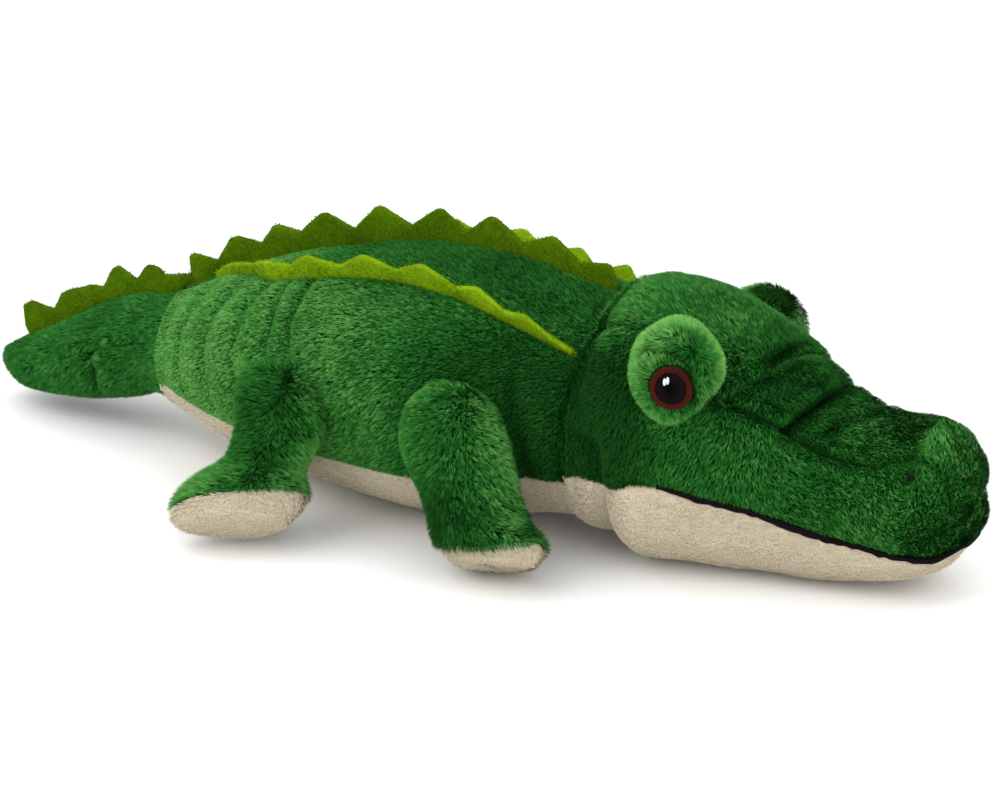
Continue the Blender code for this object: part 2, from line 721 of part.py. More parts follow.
def cap_plate(name, centre, direction, radius, start, end, sides, material):
    """Make a thin curved plate on a ball, from one half width to another."""
    bm = bmesh.new()
    low = radius
    high = radius + EMBROIDERY
    steps = 3
    arc = [math.asin(min(s / radius, 1.0)) for s in spread(start, end, steps)]
    profile = [(low * math.sin(a), low * math.cos(a)) for a in arc]
    profile += [(high * math.sin(a), high * math.cos(a)) for a in reversed(arc)]
    turns = [2 * math.pi * k / sides for k in range(sides)]
    rings = [[Vector((r * math.cos(t), r * math.sin(t), z)) for t in turns]
             for r, z in profile if r > 0.0]
    made = add_rings(bm, rings, closed=True)
    if start > 0.0:
        for k in range(sides):
            n = (k + 1) % sides
            bm.faces.new((made[-1][k], made[-1][n], made[0][n]))
            bm.faces.new((made[-1][k], made[0][n], made[0][k]))
    else:
        add_fan(bm, made[0], Vector((0.0, 0.0, low)))
        add_fan(bm, made[-1], Vector((0.0, 0.0, high)))
    bmesh.ops.transform(bm, matrix=aim_matrix(centre, direction), verts=bm.verts)
    return finish_object(name, bm, material)


def make_eye(side_name, side, keep_out, pile, iris, black, white):
    """Make one padded mound with its embroidered iris ring, pupil and glint."""
    centre = mound_centre(side)
    bm = bmesh.new()
    bmesh.ops.create_uvsphere(bm, u_segments=MOUND_SEGMENTS, v_segments=MOUND_RINGS,
                              radius=MOUND_RADIUS)
    turn = head_place().to_3x3()
    direction = turn @ Vector((EYE_AIM[0], side * EYE_AIM[1], EYE_AIM[2])).normalized()
    bmesh.ops.transform(bm, matrix=aim_matrix(centre, direction), verts=bm.verts)
    mound = finish_object("eye_mound_" + side_name, bm, pile)
    add_boolean(mound, keep_out, "DIFFERENCE")
    base = MOUND_RADIUS + SEAM_GAP
    cap_plate("iris_" + side_name, centre, direction, base, PUPIL_RADIUS + SEAM_GAP,
              IRIS_RADIUS, EYE_SIDES, iris)
    cap_plate("pupil_" + side_name, centre, direction, base, 0.0, PUPIL_RADIUS,
              EYE_SIDES, black)
    tilt = turn @ Vector((0.0, 0.0, 1.0))
    glint_aim = direction.lerp(tilt, math.sin(GLINT_TILT)).normalized()
    cap_plate("eye_glint_" + side_name, centre, glint_aim, base + EMBROIDERY + SEAM_GAP, 0.0,
              GLINT_RADIUS, GLINT_SIDES, white)


def make_nostril(side_name, side, form, keep_out, black):
    """Make one short stitch on the side of the snout."""
    x, height, half_width, half_height = head_share(NOSTRIL_LENGTH_SHARE)
    out = side * NOSTRIL_OUT_SHARE * HEAD_HALF_WIDTH
    rise = half_height * math.sqrt(1 - (out / half_width) ** 2)
    centre = head_place() @ Vector((x, out, height + rise))
    bm = bmesh.new()
    bmesh.ops.create_uvsphere(bm, u_segments=10, v_segments=6, radius=NOSTRIL_RADIUS)
    bmesh.ops.scale(bm, verts=bm.verts, vec=(1.0, NOSTRIL_FLAT_SHARE, NOSTRIL_FLAT_SHARE))
    bmesh.ops.translate(bm, verts=bm.verts, vec=centre)
    stitch = finish_object("nostril_stitch_" + side_name, bm, black)
    add_boolean(stitch, keep_out, "DIFFERENCE")


# Ridges


def ridge_outline(ends, teeth, length, stations):
    """Return (share, height) along a toothed strip, with the form's own rings between."""
    start, end = ends
    tip = TOOTH_TIP / length / 2
    outline = [(start, STRIP_HEIGHT)]
    for k, (place, size) in enumerate(teeth):
        height = TOOTH_HEIGHT * size
        outline.append((place - tip, height))
        outline.append((place + tip, height))
        after = teeth[k + 1][0] if k + 1 < len(teeth) else end
        valley = (place + after) / 2 if k + 1 < len(teeth) else end
        outline.append((valley, STRIP_HEIGHT))
    shares = [share for share, height in outline]
    heights = [height for share, height in outline]
    inside = [s for s in stations if start < s < end]
    every = sorted(set(shares + inside))
    return [(s, float(np.interp(s, shares, heights))) for s in every]


def make_ridge(name, form, angle_at, ends, teeth, length, stations, first, felt):
    """Stand a toothed felt strip on a form, along the angle that angle_at gives."""
    bm = bmesh.new()
    sections = []
    for share, height in ridge_outline(ends, teeth, length, stations):
        k = min(max(int(np.searchsorted(stations, share, side="right")) - 1, 0),
                len(stations) - 2)
        t = (share - stations[k]) / (stations[k + 1] - stations[k])
        i = first + k
        low = form.point(i, angle_at(i))
        high = form.point(i + 1, angle_at(i + 1))
        base = low.lerp(high, t)
        up = form.normal(i, angle_at(i)).lerp(form.normal(i + 1, angle_at(i + 1)), t)
        up = up.normalized()
        side = up.cross(high - low).normalized() * FELT / 2
        foot = base + up * SEAM_GAP
        head = foot + up * height
        sections.append([foot - side, foot + side, head + side * FELT_TOP_SHARE,
                         head - side * FELT_TOP_SHARE])
    made = add_rings(bm, sections, closed=True)
    bm.faces.new(made[0])
    bm.faces.new(made[-1])
    return finish_object(name, bm, felt, smooth=False)


# Legs


class Leg:
    """The sizes of one pair of legs."""

    def __init__(self, name, thigh, seat_radius, seat, rings, crown, sole, sole_size,
                 sole_tilt, toe_turn, toe_lift):
        """Keep the pair's tables; seat is given in shares of the body."""
        self.name = name
        self.thigh = thigh
        self.seat_radius = seat_radius
        self.seat = seat
        self.rings = rings
        self.crown = crown
        self.sole = sole
        self.sole_size = sole_size
        self.sole_tilt = sole_tilt
        self.toe_turn = toe_turn
        self.toe_lift = toe_lift

    def seat_half_width(self):
        """Return the body's greatest half width near the seat."""
        reach = self.seat_radius / BODY_LENGTH
        shares = spread(self.seat[0] - reach, self.seat[0] + reach, 4)
        return max(body_share(share)[2] for share in shares)

    def pivot(self, side):
        """Return the seat's centre, at the bottom of the hollow in the body's side."""
        return Vector((BODY_REAR_X + self.seat[0] * BODY_LENGTH,
                       side * (self.seat_half_width() - SEAT_DEPTH),
                       self.seat[1] * BODY_HALF_HEIGHT))

    def put(self, side, shares):
        """Return a point given as shares of the thigh's radius from the seat's mouth."""
        mouth = self.pivot(side) + Vector((0.0, side * SEAT_DEPTH, 0.0))
        return mouth + Vector((shares[0], side * shares[1], shares[2])) * self.thigh

    def axes(self, side, lean):
        """Return a ring's two directions, from level to the sole's plane."""
        turn = math.pi * round(self.toe_turn / math.pi) * (1 - lean) + self.toe_turn * lean
        tilt = self.sole_tilt * lean
        along = Vector((math.cos(turn), side * abs(math.sin(turn)), 0.0))
        out = Vector((abs(math.sin(turn)), side * abs(math.cos(turn)), 0.0))
        across = out * math.cos(tilt) + Vector((0.0, 0.0, math.sin(tilt)))
        along = along * math.cos(self.toe_lift * lean)
        along.z = math.sin(self.toe_lift * lean)
        return along, (across - along * across.dot(along)).normalized()


def leg_ring(leg, side, centre, half_along, half_across, lean, depth):
    """Return one ring of a leg at a depth under its surface."""
    along, across = leg.axes(side, lean)
    ring = []
    for k in range(LEG_COLUMNS):
        turn = 2 * math.pi * k / LEG_COLUMNS
        point = (centre + along * (half_along - depth) * math.cos(turn)
                 + across * (half_across - depth) * math.sin(turn))
        point.z = max(point.z, depth)
        ring.append(point)
    return ring


def leg_rings(leg, side, depth):
    """Return a leg's rings from the top of the thigh to just above its sole."""
    rings = []
    for shares in leg.rings:
        rings.append(leg_ring(leg, side, leg.put(side, shares), shares[3] * leg.thigh,
                              shares[4] * leg.thigh, shares[5], depth))
    along, across = leg.axes(side, 1.0)
    normal = along.cross(across)
    normal *= math.copysign(1.0, normal.z)
    centre = leg.put(side, leg.sole) + normal * (FABRIC + SEAM_GAP)
    rings.append(leg_ring(leg, side, centre, leg.sole_size[0] / 2, leg.sole_size[1] / 2,
                          1.0, depth))
    return rings


def lathe_cutter(name, centre, side, profile):
    """Turn a profile of (radius, out) pairs about the seat's axis into a cutter."""
    bm = bmesh.new()
    turns = [2 * math.pi * k / SEAT_SIDES for k in range(SEAT_SIDES)]
    rings = [[Vector((centre.x + r * math.cos(t), side * out, centre.z + r * math.sin(t)))
              for t in turns] for r, out in profile]
    made = add_rings(bm, rings, closed=True)
    bm.faces.new(made[0])
    bm.faces.new(made[-1])
    return as_cutter(finish_object(name, bm, None, smooth=False))


def seat_cutter(leg, side, side_name):
    """Make the round hollow that a leg sits in."""
    centre = leg.pivot(side)
    out = abs(centre.y)
    profile = ((leg.seat_radius + TURN_GAP, out - TURN_GAP),
               (leg.seat_radius + TURN_GAP, out + CUT_OVERRUN))
    return lathe_cutter("cut_" + leg.name + "_seat_" + side_name, centre, side, profile)


def body_limit(leg, side, label, depth):
    """Make what keeps a leg clear of the body at every angle of its swing.

    Inside the seat it reaches down to the hollow's bottom. Outside it stays beyond the body's
    greatest half width, and draws in below, where the body's side curves under.
    """
    centre = leg.pivot(side)
    out = abs(centre.y) + depth
    widest = leg.seat_half_width() + SEAM_GAP * 2 + depth
    rim = leg.seat_radius - depth
    profile = [(leg.thigh * LIMIT_REACH_SHARE, 0.0)]
    profile += [(leg.thigh * reach, widest - (SEAT_DEPTH - depth) * draw)
                for reach, draw in LIMIT_DRAW_SHARES]
    profile += [(rim, widest), (rim, out), (rim / 2, out)]
    return lathe_cutter("keep_off_body_" + label, centre, side, profile)


def make_leg(leg, side, side_name, pile, cream, fibre):
    """Make one leg's cover, sole and stuffing, with their origins on the swing axis."""
    origin = leg.pivot(side)
    label = leg.name + "_" + side_name
    outer_limit = body_limit(leg, side, label + "_cover", 0.0)
    inner_limit = body_limit(leg, side, label + "_lining", FABRIC)
    fibre_limit = body_limit(leg, side, label + "_fibre", FABRIC + SEAM_GAP)

    bm = bmesh.new()
    made = add_rings(bm, leg_rings(leg, side, 0.0), closed=True)
    add_fan(bm, made[0], leg.put(side, leg.crown))
    bm.faces.new(made[-1])
    cover = finish_object("leg_cover_" + label, bm, pile, origin)
    add_boolean(cover, outer_limit, "DIFFERENCE")

    for name, depth, limit in (("lining", FABRIC, inner_limit),
                               ("stuffing", FABRIC + SEAM_GAP, fibre_limit)):
        bm = bmesh.new()
        rings = leg_rings(leg, side, depth)
        if name == "lining":
            along, across = leg.axes(side, 1.0)
            normal = along.cross(across)
            normal *= math.copysign(1.0, normal.z)
            rings.append([point - normal * CUT_OVERRUN for point in rings[-1]])
        made = add_rings(bm, rings, closed=True)
        add_fan(bm, made[0], leg.put(side, leg.crown) - Vector((0.0, 0.0, depth)))
        bm.faces.new(made[-1])
        item = finish_object("leg_" + name + "_" + label, bm, fibre, origin)
        add_boolean(item, limit, "DIFFERENCE")
        if name == "lining":
            as_cutter(item)
            add_boolean(cover, item, "DIFFERENCE")

    make_sole(leg, side, label, cream, origin)


def make_sole(leg, side, label, cream, origin):
    """Make the cream plate under one foot."""
    along, across = leg.axes(side, 1.0)
    normal = along.cross(across)
    normal *= math.copysign(1.0, normal.z)
    centre = leg.put(side, leg.sole)
    half = (leg.sole_size[0] / 2, leg.sole_size[1] / 2)
    bm = bmesh.new()
    rings = []
    for rise, inset in ((0.0, FABRIC / 2), (FABRIC / 3, 0.0), (FABRIC, 0.0)):
        rings.append(leg_ring(leg, side, centre + normal * rise, half[0] - inset,
                              half[1] - inset, 1.0, 0.0))
    made = add_rings(bm, rings, closed=True)
    bm.faces.new(made[0])
    bm.faces.new(made[-1])
    return finish_object("leg_sole_" + label, bm, cream, origin)


def build():
    """Make the whole toy."""
    clear_scene()
    pile = fabric_material("green_pile", PILE_GREEN)
    back = fabric_material("green_back_pile", BACK_GREEN)
    cream = fabric_material("cream_velour", CREAM)
    felt = fabric_material("olive_felt", FELT_OLIVE, 1.0)
    fibre = fabric_material("white_fibre", FIBRE_WHITE, 1.0)
    black = fabric_material("black_thread", THREAD_BLACK, 0.6)
    iris = fabric_material("brown_thread", IRIS_BROWN, 0.6)
    white = fabric_material("white_thread", GLINT_WHITE, 0.6)

    front = Leg("front", FRONT_THIGH_RADIUS, FRONT_SEAT_RADIUS, FRONT_SEAT_SHARES,
                FRONT_RING_SHARES, FRONT_CROWN_SHARES, FRONT_SOLE_SHARES,
                (FRONT_SOLE_LENGTH, FRONT_SOLE_WIDTH), FRONT_SOLE_TILT, FRONT_TOE_TURN,
                FRONT_TOE_LIFT)
    hind = Leg("hind", HIND_THIGH_RADIUS, HIND_SEAT_RADIUS, HIND_SEAT_SHARES,
               HIND_RING_SHARES, HIND_CROWN_SHARES, HIND_SOLE_SHARES,
               (HIND_SOLE_LENGTH, HIND_SOLE_WIDTH), HIND_SOLE_TILT, HIND_TOE_TURN,
               HIND_TOE_LIFT)
    sides = (("left", 1), ("right", -1))
    seats = [(side, seat_cutter(leg, side, side_name))
             for leg in (front, hind) for side_name, side in sides]

    body = make_body_form()
    make_body(body, pile, back, cream, fibre, seats)
    tail = make_tail_form()
    make_tail(tail, back, fibre)
    head = make_head_form()
    make_head(head, pile, back, cream, black, fibre)
    keep_out = as_cutter(head_core("head_with_gap", head, -SEAM_GAP, None))
    for side_name, side in sides:
        make_eye(side_name, side, keep_out, pile, iris, black, white)
        make_nostril(side_name, side, head, keep_out, black)
        for leg in (front, hind):
            make_leg(leg, side, side_name, pile, cream, fibre)

    make_ridge("spine_ridge_centre", body, spine_angle, CENTRE_RIDGE_ENDS_SHARES,
               CENTRE_TEETH_SHARES, BODY_LENGTH, BODY_STATION_SHARES, 0, felt)
    make_ridge("spine_ridge_left", body, lambda i: spine_angle(i) - ridge_angle(i),
               SIDE_RIDGE_ENDS_SHARES, SIDE_TEETH_SHARES, BODY_LENGTH, BODY_STATION_SHARES,
               0, felt)
    make_ridge("spine_ridge_right", body, lambda i: spine_angle(i) + ridge_angle(i),
               SIDE_RIDGE_ENDS_SHARES, SIDE_TEETH_SHARES, BODY_LENGTH, BODY_STATION_SHARES,
               0, felt)
    tail_stations = [(TAIL_CENTRE.x - ring[0]) / TAIL_LENGTH for ring in tail.rings]
    make_ridge("tail_ridge", tail, lambda i: TOP, TAIL_RIDGE_ENDS_SHARES, TAIL_TEETH_SHARES,
               TAIL_LENGTH, tail_stations, 0, felt)


build()
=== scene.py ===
"""Looks of the plush crocodile: padded pile skins, felt ridges, embroidery, stage and camera.

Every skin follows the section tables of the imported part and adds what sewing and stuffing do
to it: seams that draw in, darts, tucks and folds. Pile stands on the skins as real strands.
"""
import itertools
import logging
import math
from dataclasses import dataclass, field, replace
from enum import Enum
from typing import Callable, Protocol, Sequence

import bmesh
import bpy
import numpy as np
from mathutils import Matrix, Vector


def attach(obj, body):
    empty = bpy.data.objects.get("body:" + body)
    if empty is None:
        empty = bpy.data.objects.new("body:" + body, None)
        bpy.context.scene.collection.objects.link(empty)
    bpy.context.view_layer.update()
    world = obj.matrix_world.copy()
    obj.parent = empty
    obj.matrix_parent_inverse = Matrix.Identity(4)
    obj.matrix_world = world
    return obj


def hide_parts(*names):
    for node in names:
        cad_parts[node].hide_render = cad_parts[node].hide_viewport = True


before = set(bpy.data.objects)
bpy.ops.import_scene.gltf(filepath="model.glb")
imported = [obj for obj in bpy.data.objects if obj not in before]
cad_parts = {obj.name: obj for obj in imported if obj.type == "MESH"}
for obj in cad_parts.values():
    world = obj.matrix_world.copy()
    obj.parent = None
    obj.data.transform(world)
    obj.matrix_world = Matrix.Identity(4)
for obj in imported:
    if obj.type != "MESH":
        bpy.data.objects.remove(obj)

LOG = logging.getLogger("plush_crocodile")
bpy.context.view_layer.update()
MM = 0.001
UV_NAME = "OFBake"
IMAGE_SIZE = (993, 794)
SEED = 20
SHARE_STEP = 0.004
ANGLE_STEP = math.radians(1.0)
SKIN_THICKNESS = 2.2
SURFACE_FLOOR = 0.3
PANEL_FLOOR = 0.2
BACK_FLOOR = 0.1
Array = np.ndarray
Limit = Callable[[Array], Array]
Colour = tuple[float, float, float, float]


class Side(Enum):
    """The toy's own sides, with the sign of Y."""

    LEFT = 1
    RIGHT = -1

    @property
    def label(self) -> str:
        """Return the side's name as the nodes spell it."""
        return self.name.lower()


class Run(Enum):
    """Which way a fold runs over a form."""

    ROUND = "round"
    LENGTHWISE = "lengthwise"


# Small maths


def unit(vectors: Array) -> Array:
    """Scale vectors to length one.

    Args:
        vectors: array whose last axis holds x, y and z.

    Returns:
        The same directions with length one.
    """
    return vectors / np.maximum(np.linalg.norm(vectors, axis=-1, keepdims=True), 1e-12)


def ease(values: Array) -> Array:
    """Ease values from 0 to 1 with flat ends.

    Args:
        values: any numbers.

    Returns:
        The eased values, held at 0 and 1 outside that range.
    """
    held = np.clip(values, 0.0, 1.0)
    return held * held * (3.0 - 2.0 * held)


def bell(away: Array, width: float, power: float = 2.0) -> Array:
    """Return 1 where a distance is zero, falling to 0 over a few widths."""
    return np.exp(-(np.abs(away / width) ** power))


def wrapped(angle: Array) -> Array:
    """Return angles in degrees, from -180 to 180."""
    return (np.degrees(angle) + 180.0) % 360.0 - 180.0


def level(value: float) -> Limit:
    """Return an edge that stays at one angle."""
    return lambda share: np.full_like(share, value)


def mirrored(edge: Limit) -> Limit:
    """Return an edge of the left side on the right side."""
    return lambda share: math.pi - edge(share)


def above(points: Array, floor: float) -> Array:
    """Lift places in metres that are lower than some millimetres."""
    points[..., 2] = np.maximum(points[..., 2], floor * MM)
    return points


def bilinear(values: Array, row: Array, column: Array, u: Array, v: Array) -> Array:
    """Read a grid inside its cells, u down a cell and v across it."""
    low = values[row, column] * (1 - v) + values[row, column + 1] * v
    high = values[row + 1, column] * (1 - v) + values[row + 1, column + 1] * v
    return low * (1 - u) + high * u


def hashed(cells: Array, seed: int) -> Array:
    """Turn whole-number cells into repeatable random values.

    Args:
        cells: whole numbers, with the last axis holding three of them.
        seed: number of the random field.

    Returns:
        Values from 0 to 1, one for each cell.
    """
    mixed = (cells[..., 0] * 374761393 + cells[..., 1] * 668265263
             + cells[..., 2] * 1442695041 + seed * 974634777)
    mixed = (mixed ^ (mixed >> 13)) * 1274126177
    mixed = mixed ^ (mixed >> 16)
    return (mixed & 0xFFFFFF) / float(0xFFFFFF)


def noise(points: Array, size: float, seed: int) -> Array:
    """Read a smooth random field.

    Args:
        points: places in metres.
        size: the field's cell in metres.
        seed: number of the random field.

    Returns:
        Values from -1 to 1, one for each point.
    """
    scaled = points / size
    cells = np.floor(scaled).astype(np.int64)
    part = scaled - cells
    part = part * part * (3.0 - 2.0 * part)
    total = np.zeros(points.shape[:-1])
    for corner in itertools.product((0, 1), repeat=3):
        step = np.array(corner)
        weight = np.prod(np.where(step == 1, part, 1.0 - part), axis=-1)
        total += weight * hashed(cells + step, seed)
    return 2.0 * total - 1.0


def tufts(points: Array, size: float, seed: int) -> tuple[Array, Array]:
    """Find the tuft that each strand belongs to.

    Args:
        points: the strands' roots in metres.
        size: the tufts' spacing in metres.
        seed: number of the random field.

    Returns:
        The tufts' centres and one random value from 0 to 1 for each tuft.
    """
    cells = np.floor(points / size).astype(np.int64)
    nearest = np.full(len(points), np.inf)
    centres = np.array(points)
    marks = np.zeros(len(points))
    for offset in itertools.product((-1, 0, 1), repeat=3):
        cell = cells + np.array(offset)
        place = np.stack([hashed(cell, seed + k) for k in range(3)], axis=-1)
        centre = (cell + place) * size
        away = ((points - centre) ** 2).sum(axis=-1)
        closer = away < nearest
        nearest[closer] = away[closer]
        centres[closer] = centre[closer]
        marks[closer] = hashed(cell[closer], seed + 7)
    return centres, marks


def drift(points: Array, size: float, seed: int) -> Array:
    """Read a smooth random direction at each place."""
    return np.stack([noise(points, size, seed + k) for k in range(3)], axis=-1)


def linear(red: int, green: int, blue: int) -> Colour:
    """Turn a colour as seen on a screen, from 0 to 255, into scene light."""
    shares = [value / 255.0 for value in (red, green, blue)]
    return (*(s / 12.92 if s <= 0.04045 else ((s + 0.055) / 1.055) ** 2.4 for s in shares),
            1.0)


# Forms


@dataclass(frozen=True)
class Profile:
    """A table of sections along a form, read along a smooth curve through its rows."""

    rows: tuple[tuple[float, ...], ...]

    def read(self, at: Array) -> Array:
        """Read the table.

        Args:
            at: places along the form, in the table's first column.

        Returns:
            The other columns at those places, on a new last axis.
        """
        table = np.array(self.rows)
        places, values = table[:, 0], table[:, 1:]
        last = len(places) - 1
        order = np.arange(last + 1)
        low, high = np.maximum(order - 1, 0), np.minimum(order + 1, last)
        slopes = (values[high] - values[low]) / (places[high] - places[low])[:, None]
        held = np.clip(at, places[0], places[-1])
        k = np.clip(np.searchsorted(places, held, side="right") - 1, 0, last - 1)
        span = (places[k + 1] - places[k])[..., None]
        t = (held - places[k])[..., None] / span
        start = (2 * t**3 - 3 * t**2 + 1) * values[k] + (t**3 - 2 * t**2 + t) * span * slopes[k]
        end = (3 * t**2 - 2 * t**3) * values[k + 1] + (t**3 - t**2) * span * slopes[k + 1]
        return start + end


@dataclass(frozen=True)
class Fold:
    """A crease, dart or tuck: a valley along a curve, with soft lips beside it.

    The curve lists (place along the fold, place across it). A fold that runs round a form is
    listed by angle in degrees, then by share; one that runs lengthwise the other way about.
    """

    curve: tuple[tuple[float, float], ...]
    depth: float
    width: float
    lip: float = 0.0
    run: Run = Run.ROUND
    fade: float = 12.0

    def relief(self, share: Array, degrees: Array, reach: float, girth: float) -> Array:
        """Return the fold's height over the form.

        Args:
            share: places along the form.
            degrees: places round it.
            reach: millimetres in one share of the form's length.
            girth: millimetres in one degree round the form.

        Returns:
            Heights in millimetres, negative in the valley.
        """
        table = np.array(self.curve)
        table = table[np.argsort(table[:, 0])]
        if self.run is Run.ROUND:
            main, off, scale, fade = degrees, share, reach, self.fade
        else:
            main, off, scale, fade = share, degrees, girth, self.fade / 100.0
        away = np.abs(off - np.interp(main, table[:, 0], table[:, 1])) * scale
        inside = np.minimum(main - table[0, 0], table[-1, 0] - main)
        window = ease(inside / fade + 0.5)
        valley = -self.depth * bell(away, self.width, 1.5)
        lips = self.lip * bell(away - 2.4 * self.width, 1.5 * self.width)
        return window * (valley + lips)


@dataclass(frozen=True)
class BallEnd:
    """Where a form's end ring sits on a ball, and how its rim turns in over the ball."""

    centre: tuple[float, float, float]
    radius: float
    share: float
    blend: float
    turn_in: float
    draw: float


class Surface(Protocol):
    """A surface that can be read by share and angle, with no folds unless it says so."""

    def point(self, share: Array, angle: Array) -> Array:
        """Return places in metres."""

    def middle(self, share: Array) -> Array:
        """Return the middle of the ring at a share."""

    def relief(self, share: Array, angle: Array) -> Array:
        """Return how far folds move the surface out, in millimetres."""
        return np.zeros(np.broadcast(share, angle).shape)


@dataclass(frozen=True)
class Form(Surface):
    """A swelling form of oval rings along X, in millimetres until it is placed."""

    RIPPLE_SIZE = 22.0
    CAP_LIMIT = 0.99999
    LAST_MIDDLE = 0.93

    profile: Profile
    start: float
    length: float
    sizes: tuple[float, float, float]
    cap_start: float = 2.0
    fullness: float = 1.0
    ends: tuple[BallEnd, ...] = ()
    folds: tuple[Fold, ...] = ()
    ripple: float = 0.5
    inset: float = 1.6
    place: Matrix = field(default_factory=lambda: Matrix.Identity(4))

    def rings(self, share: Array) -> tuple[Array, Array, Array, Array]:
        """Read x, centre height, half width and half height in millimetres."""
        table = self.profile.read(np.minimum(share, self.cap_start))
        height, half_width, half_height = (table[..., k] * self.sizes[k] for k in range(3))
        beyond = (share - self.cap_start) / (1.0 - self.cap_start)
        beyond = np.clip(beyond, 0.0, self.CAP_LIMIT)
        beyond = beyond if self.cap_start < 1.0 else np.zeros_like(share)
        shrink = np.sqrt(1.0 - beyond**2)
        x = self.start + np.minimum(share, 1.0) * self.length
        return x, height, half_width * shrink, half_height * shrink

    def bare(self, share: Array, angle: Array) -> Array:
        """Return the form's own surface, without folds and unplaced, in millimetres."""
        x, height, half_width, half_height = self.rings(share)
        across = np.cos(angle)
        low = np.sin(angle) < 0.0
        full = np.sign(across) * np.abs(across) ** self.fullness
        y = half_width * np.where(low, full, across)
        rise = half_height * np.sin(angle)
        for end in self.ends:
            side = math.copysign(1.0, end.turn_in)
            out = side * (share - end.share)
            narrow = 1.0 - end.draw * np.clip(out / abs(end.turn_in), 0.0, 1.0)
            y, rise = y * narrow, rise * narrow
            spoke = y**2 + (height + rise - end.centre[2]) ** 2
            ball_x = end.centre[0] + np.sqrt(np.maximum(end.radius**2 - spoke, 0.0))
            x = x + (ball_x - x) * ease(1.0 + out / end.blend)
        return np.stack([x, y, height + rise], axis=-1)

    def relief(self, share: Array, angle: Array) -> Array:
        """Return how far the folds move the surface out, in millimetres."""
        degrees = np.degrees(angle)
        _, _, half_width, half_height = self.rings(share)
        girth = np.maximum((half_width + half_height) / 2.0, 2.0) * math.pi / 180.0
        total = np.zeros(np.broadcast(share, angle).shape)
        for fold in self.folds:
            total = total + fold.relief(share, degrees, abs(self.length), girth)
        return total

    def point(self, share: Array, angle: Array) -> Array:
        """Return the finished surface in metres, in the row frame."""
        bare = self.bare(share, angle)
        along = self.bare(share + SHARE_STEP, angle) - self.bare(share - SHARE_STEP, angle)
        around = self.bare(share, angle + ANGLE_STEP) - self.bare(share, angle - ANGLE_STEP)
        normal = unit(np.cross(around, along)) * math.copysign(1.0, self.length)
        soft = self.ripple * noise(bare * MM, self.RIPPLE_SIZE * MM, 11)
        sunk = self.inset * ease((np.sin(angle) + 0.75) / 0.35)
        moved = bare + normal * (self.relief(share, angle) + soft - sunk)[..., None]
        return above(self.placed(moved), SURFACE_FLOOR)

    def placed(self, local: Array) -> Array:
        """Turn and move places in millimetres to where the form lies, in metres."""
        turn = np.array(self.place.to_3x3())
        return (local @ turn.T + np.array(self.place.translation) / MM) * MM

    def middle(self, share: Array) -> Array:
        """Return a place inside the form for a share, in metres."""
        x, height, _, _ = self.rings(np.minimum(share, self.LAST_MIDDLE))
        return self.placed(np.stack([x, np.zeros_like(x), height], axis=-1))


@dataclass(frozen=True)
class Spot:
    """Places on a surface, each with its outward, lengthwise and round directions."""

    share: Array
    angle: Array
    point: Array
    normal: Array
    along: Array
    around: Array


def read_spots(surface: Surface, share: Array, angle: Array) -> Spot:
    """Read places and directions on a surface.

    Args:
        surface: the surface to read.
        share: places along it.
        angle: places round it, in radians.

    Returns:
        The places with their directions.
    """
    here = surface.point(share, angle)
    along = surface.point(share + SHARE_STEP, angle) - surface.point(share - SHARE_STEP, angle)
    around = surface.point(share, angle + ANGLE_STEP) - surface.point(share, angle - ANGLE_STEP)
    normal = unit(np.cross(around, along))
    outward = np.sign((normal * (here - surface.middle(share))).sum(axis=-1, keepdims=True))
    return Spot(share, angle, here, normal * np.where(outward == 0, 1.0, outward),
                unit(along), unit(around))


@dataclass
class Patch:
    """A panel of a surface between two edges that may run along curves.

    The seams draw it in over a width, in millimetres, and the pile is trimmed there by a share.
    """

    surface: Surface
    shares: Sequence[float]
    low: Limit
    high: Limit
    columns: int
    seam_draw: float = 1.3
    seam_width: float = 2.2
    seam_trim: float = 0.25
    seam_sides: tuple[bool, bool] = (True, True)

    def grid(self) -> tuple[Array, Array]:
        """Return the shares and angles of the panel's grid."""
        share = np.array(self.shares, dtype=float)
        low, high = self.low(share), np.maximum(self.high(share), self.low(share) + 1e-4)
        t = np.linspace(0.0, 1.0, self.columns)[None, :]
        angle = low[:, None] + (high - low)[:, None] * t
        return np.repeat(share[:, None], self.columns, axis=1), angle

    def near_seam(self, spot: Spot, width: float) -> Array:
        """Return 1 on the seams at the panel's edges, falling to 0 beside them."""
        low, high = self.low(spot.share), self.high(spot.share)
        spoke = np.linalg.norm(spot.point - self.surface.middle(spot.share), axis=-1)
        near = np.zeros(spot.share.shape)
        for used, edge in zip(self.seam_sides, (low, high)):
            if used:
                away = np.abs(spot.angle - edge) * spoke / MM
                near = np.maximum(near, bell(away, width, 1.4))
        return near

    def spots(self, share: Array, angle: Array) -> Spot:
        """Read places on the sewn panel."""
        spot = read_spots(self.surface, share, angle)
        dip = self.seam_draw * MM * self.near_seam(spot, self.seam_width)
        return replace(spot, point=above(spot.point - spot.normal * dip[..., None], PANEL_FLOOR))


def round_patch(surface: Surface, start: float, end: float, step: float,
                columns: int) -> Patch:
    """Return a panel without seams that goes all the way round a surface."""
    return Patch(surface, spread(start, end, step), level(0.0), level(2 * math.pi), columns,
                 seam_sides=(False, False))


def spread(start: float, end: float, step: float) -> list[float]:
    """Return evenly spaced places from start to end, about a step apart."""
    return list(np.linspace(start, end, max(2, int(round(abs(end - start) / step)) + 1)))


def to_cap(start: float, step: float) -> list[float]:
    """Return places from start to 1, closer together where a form's cap closes."""
    return spread(start, 0.99, step) + [0.993, 0.996, 0.998, 0.9993, 1.0]


# Meshes


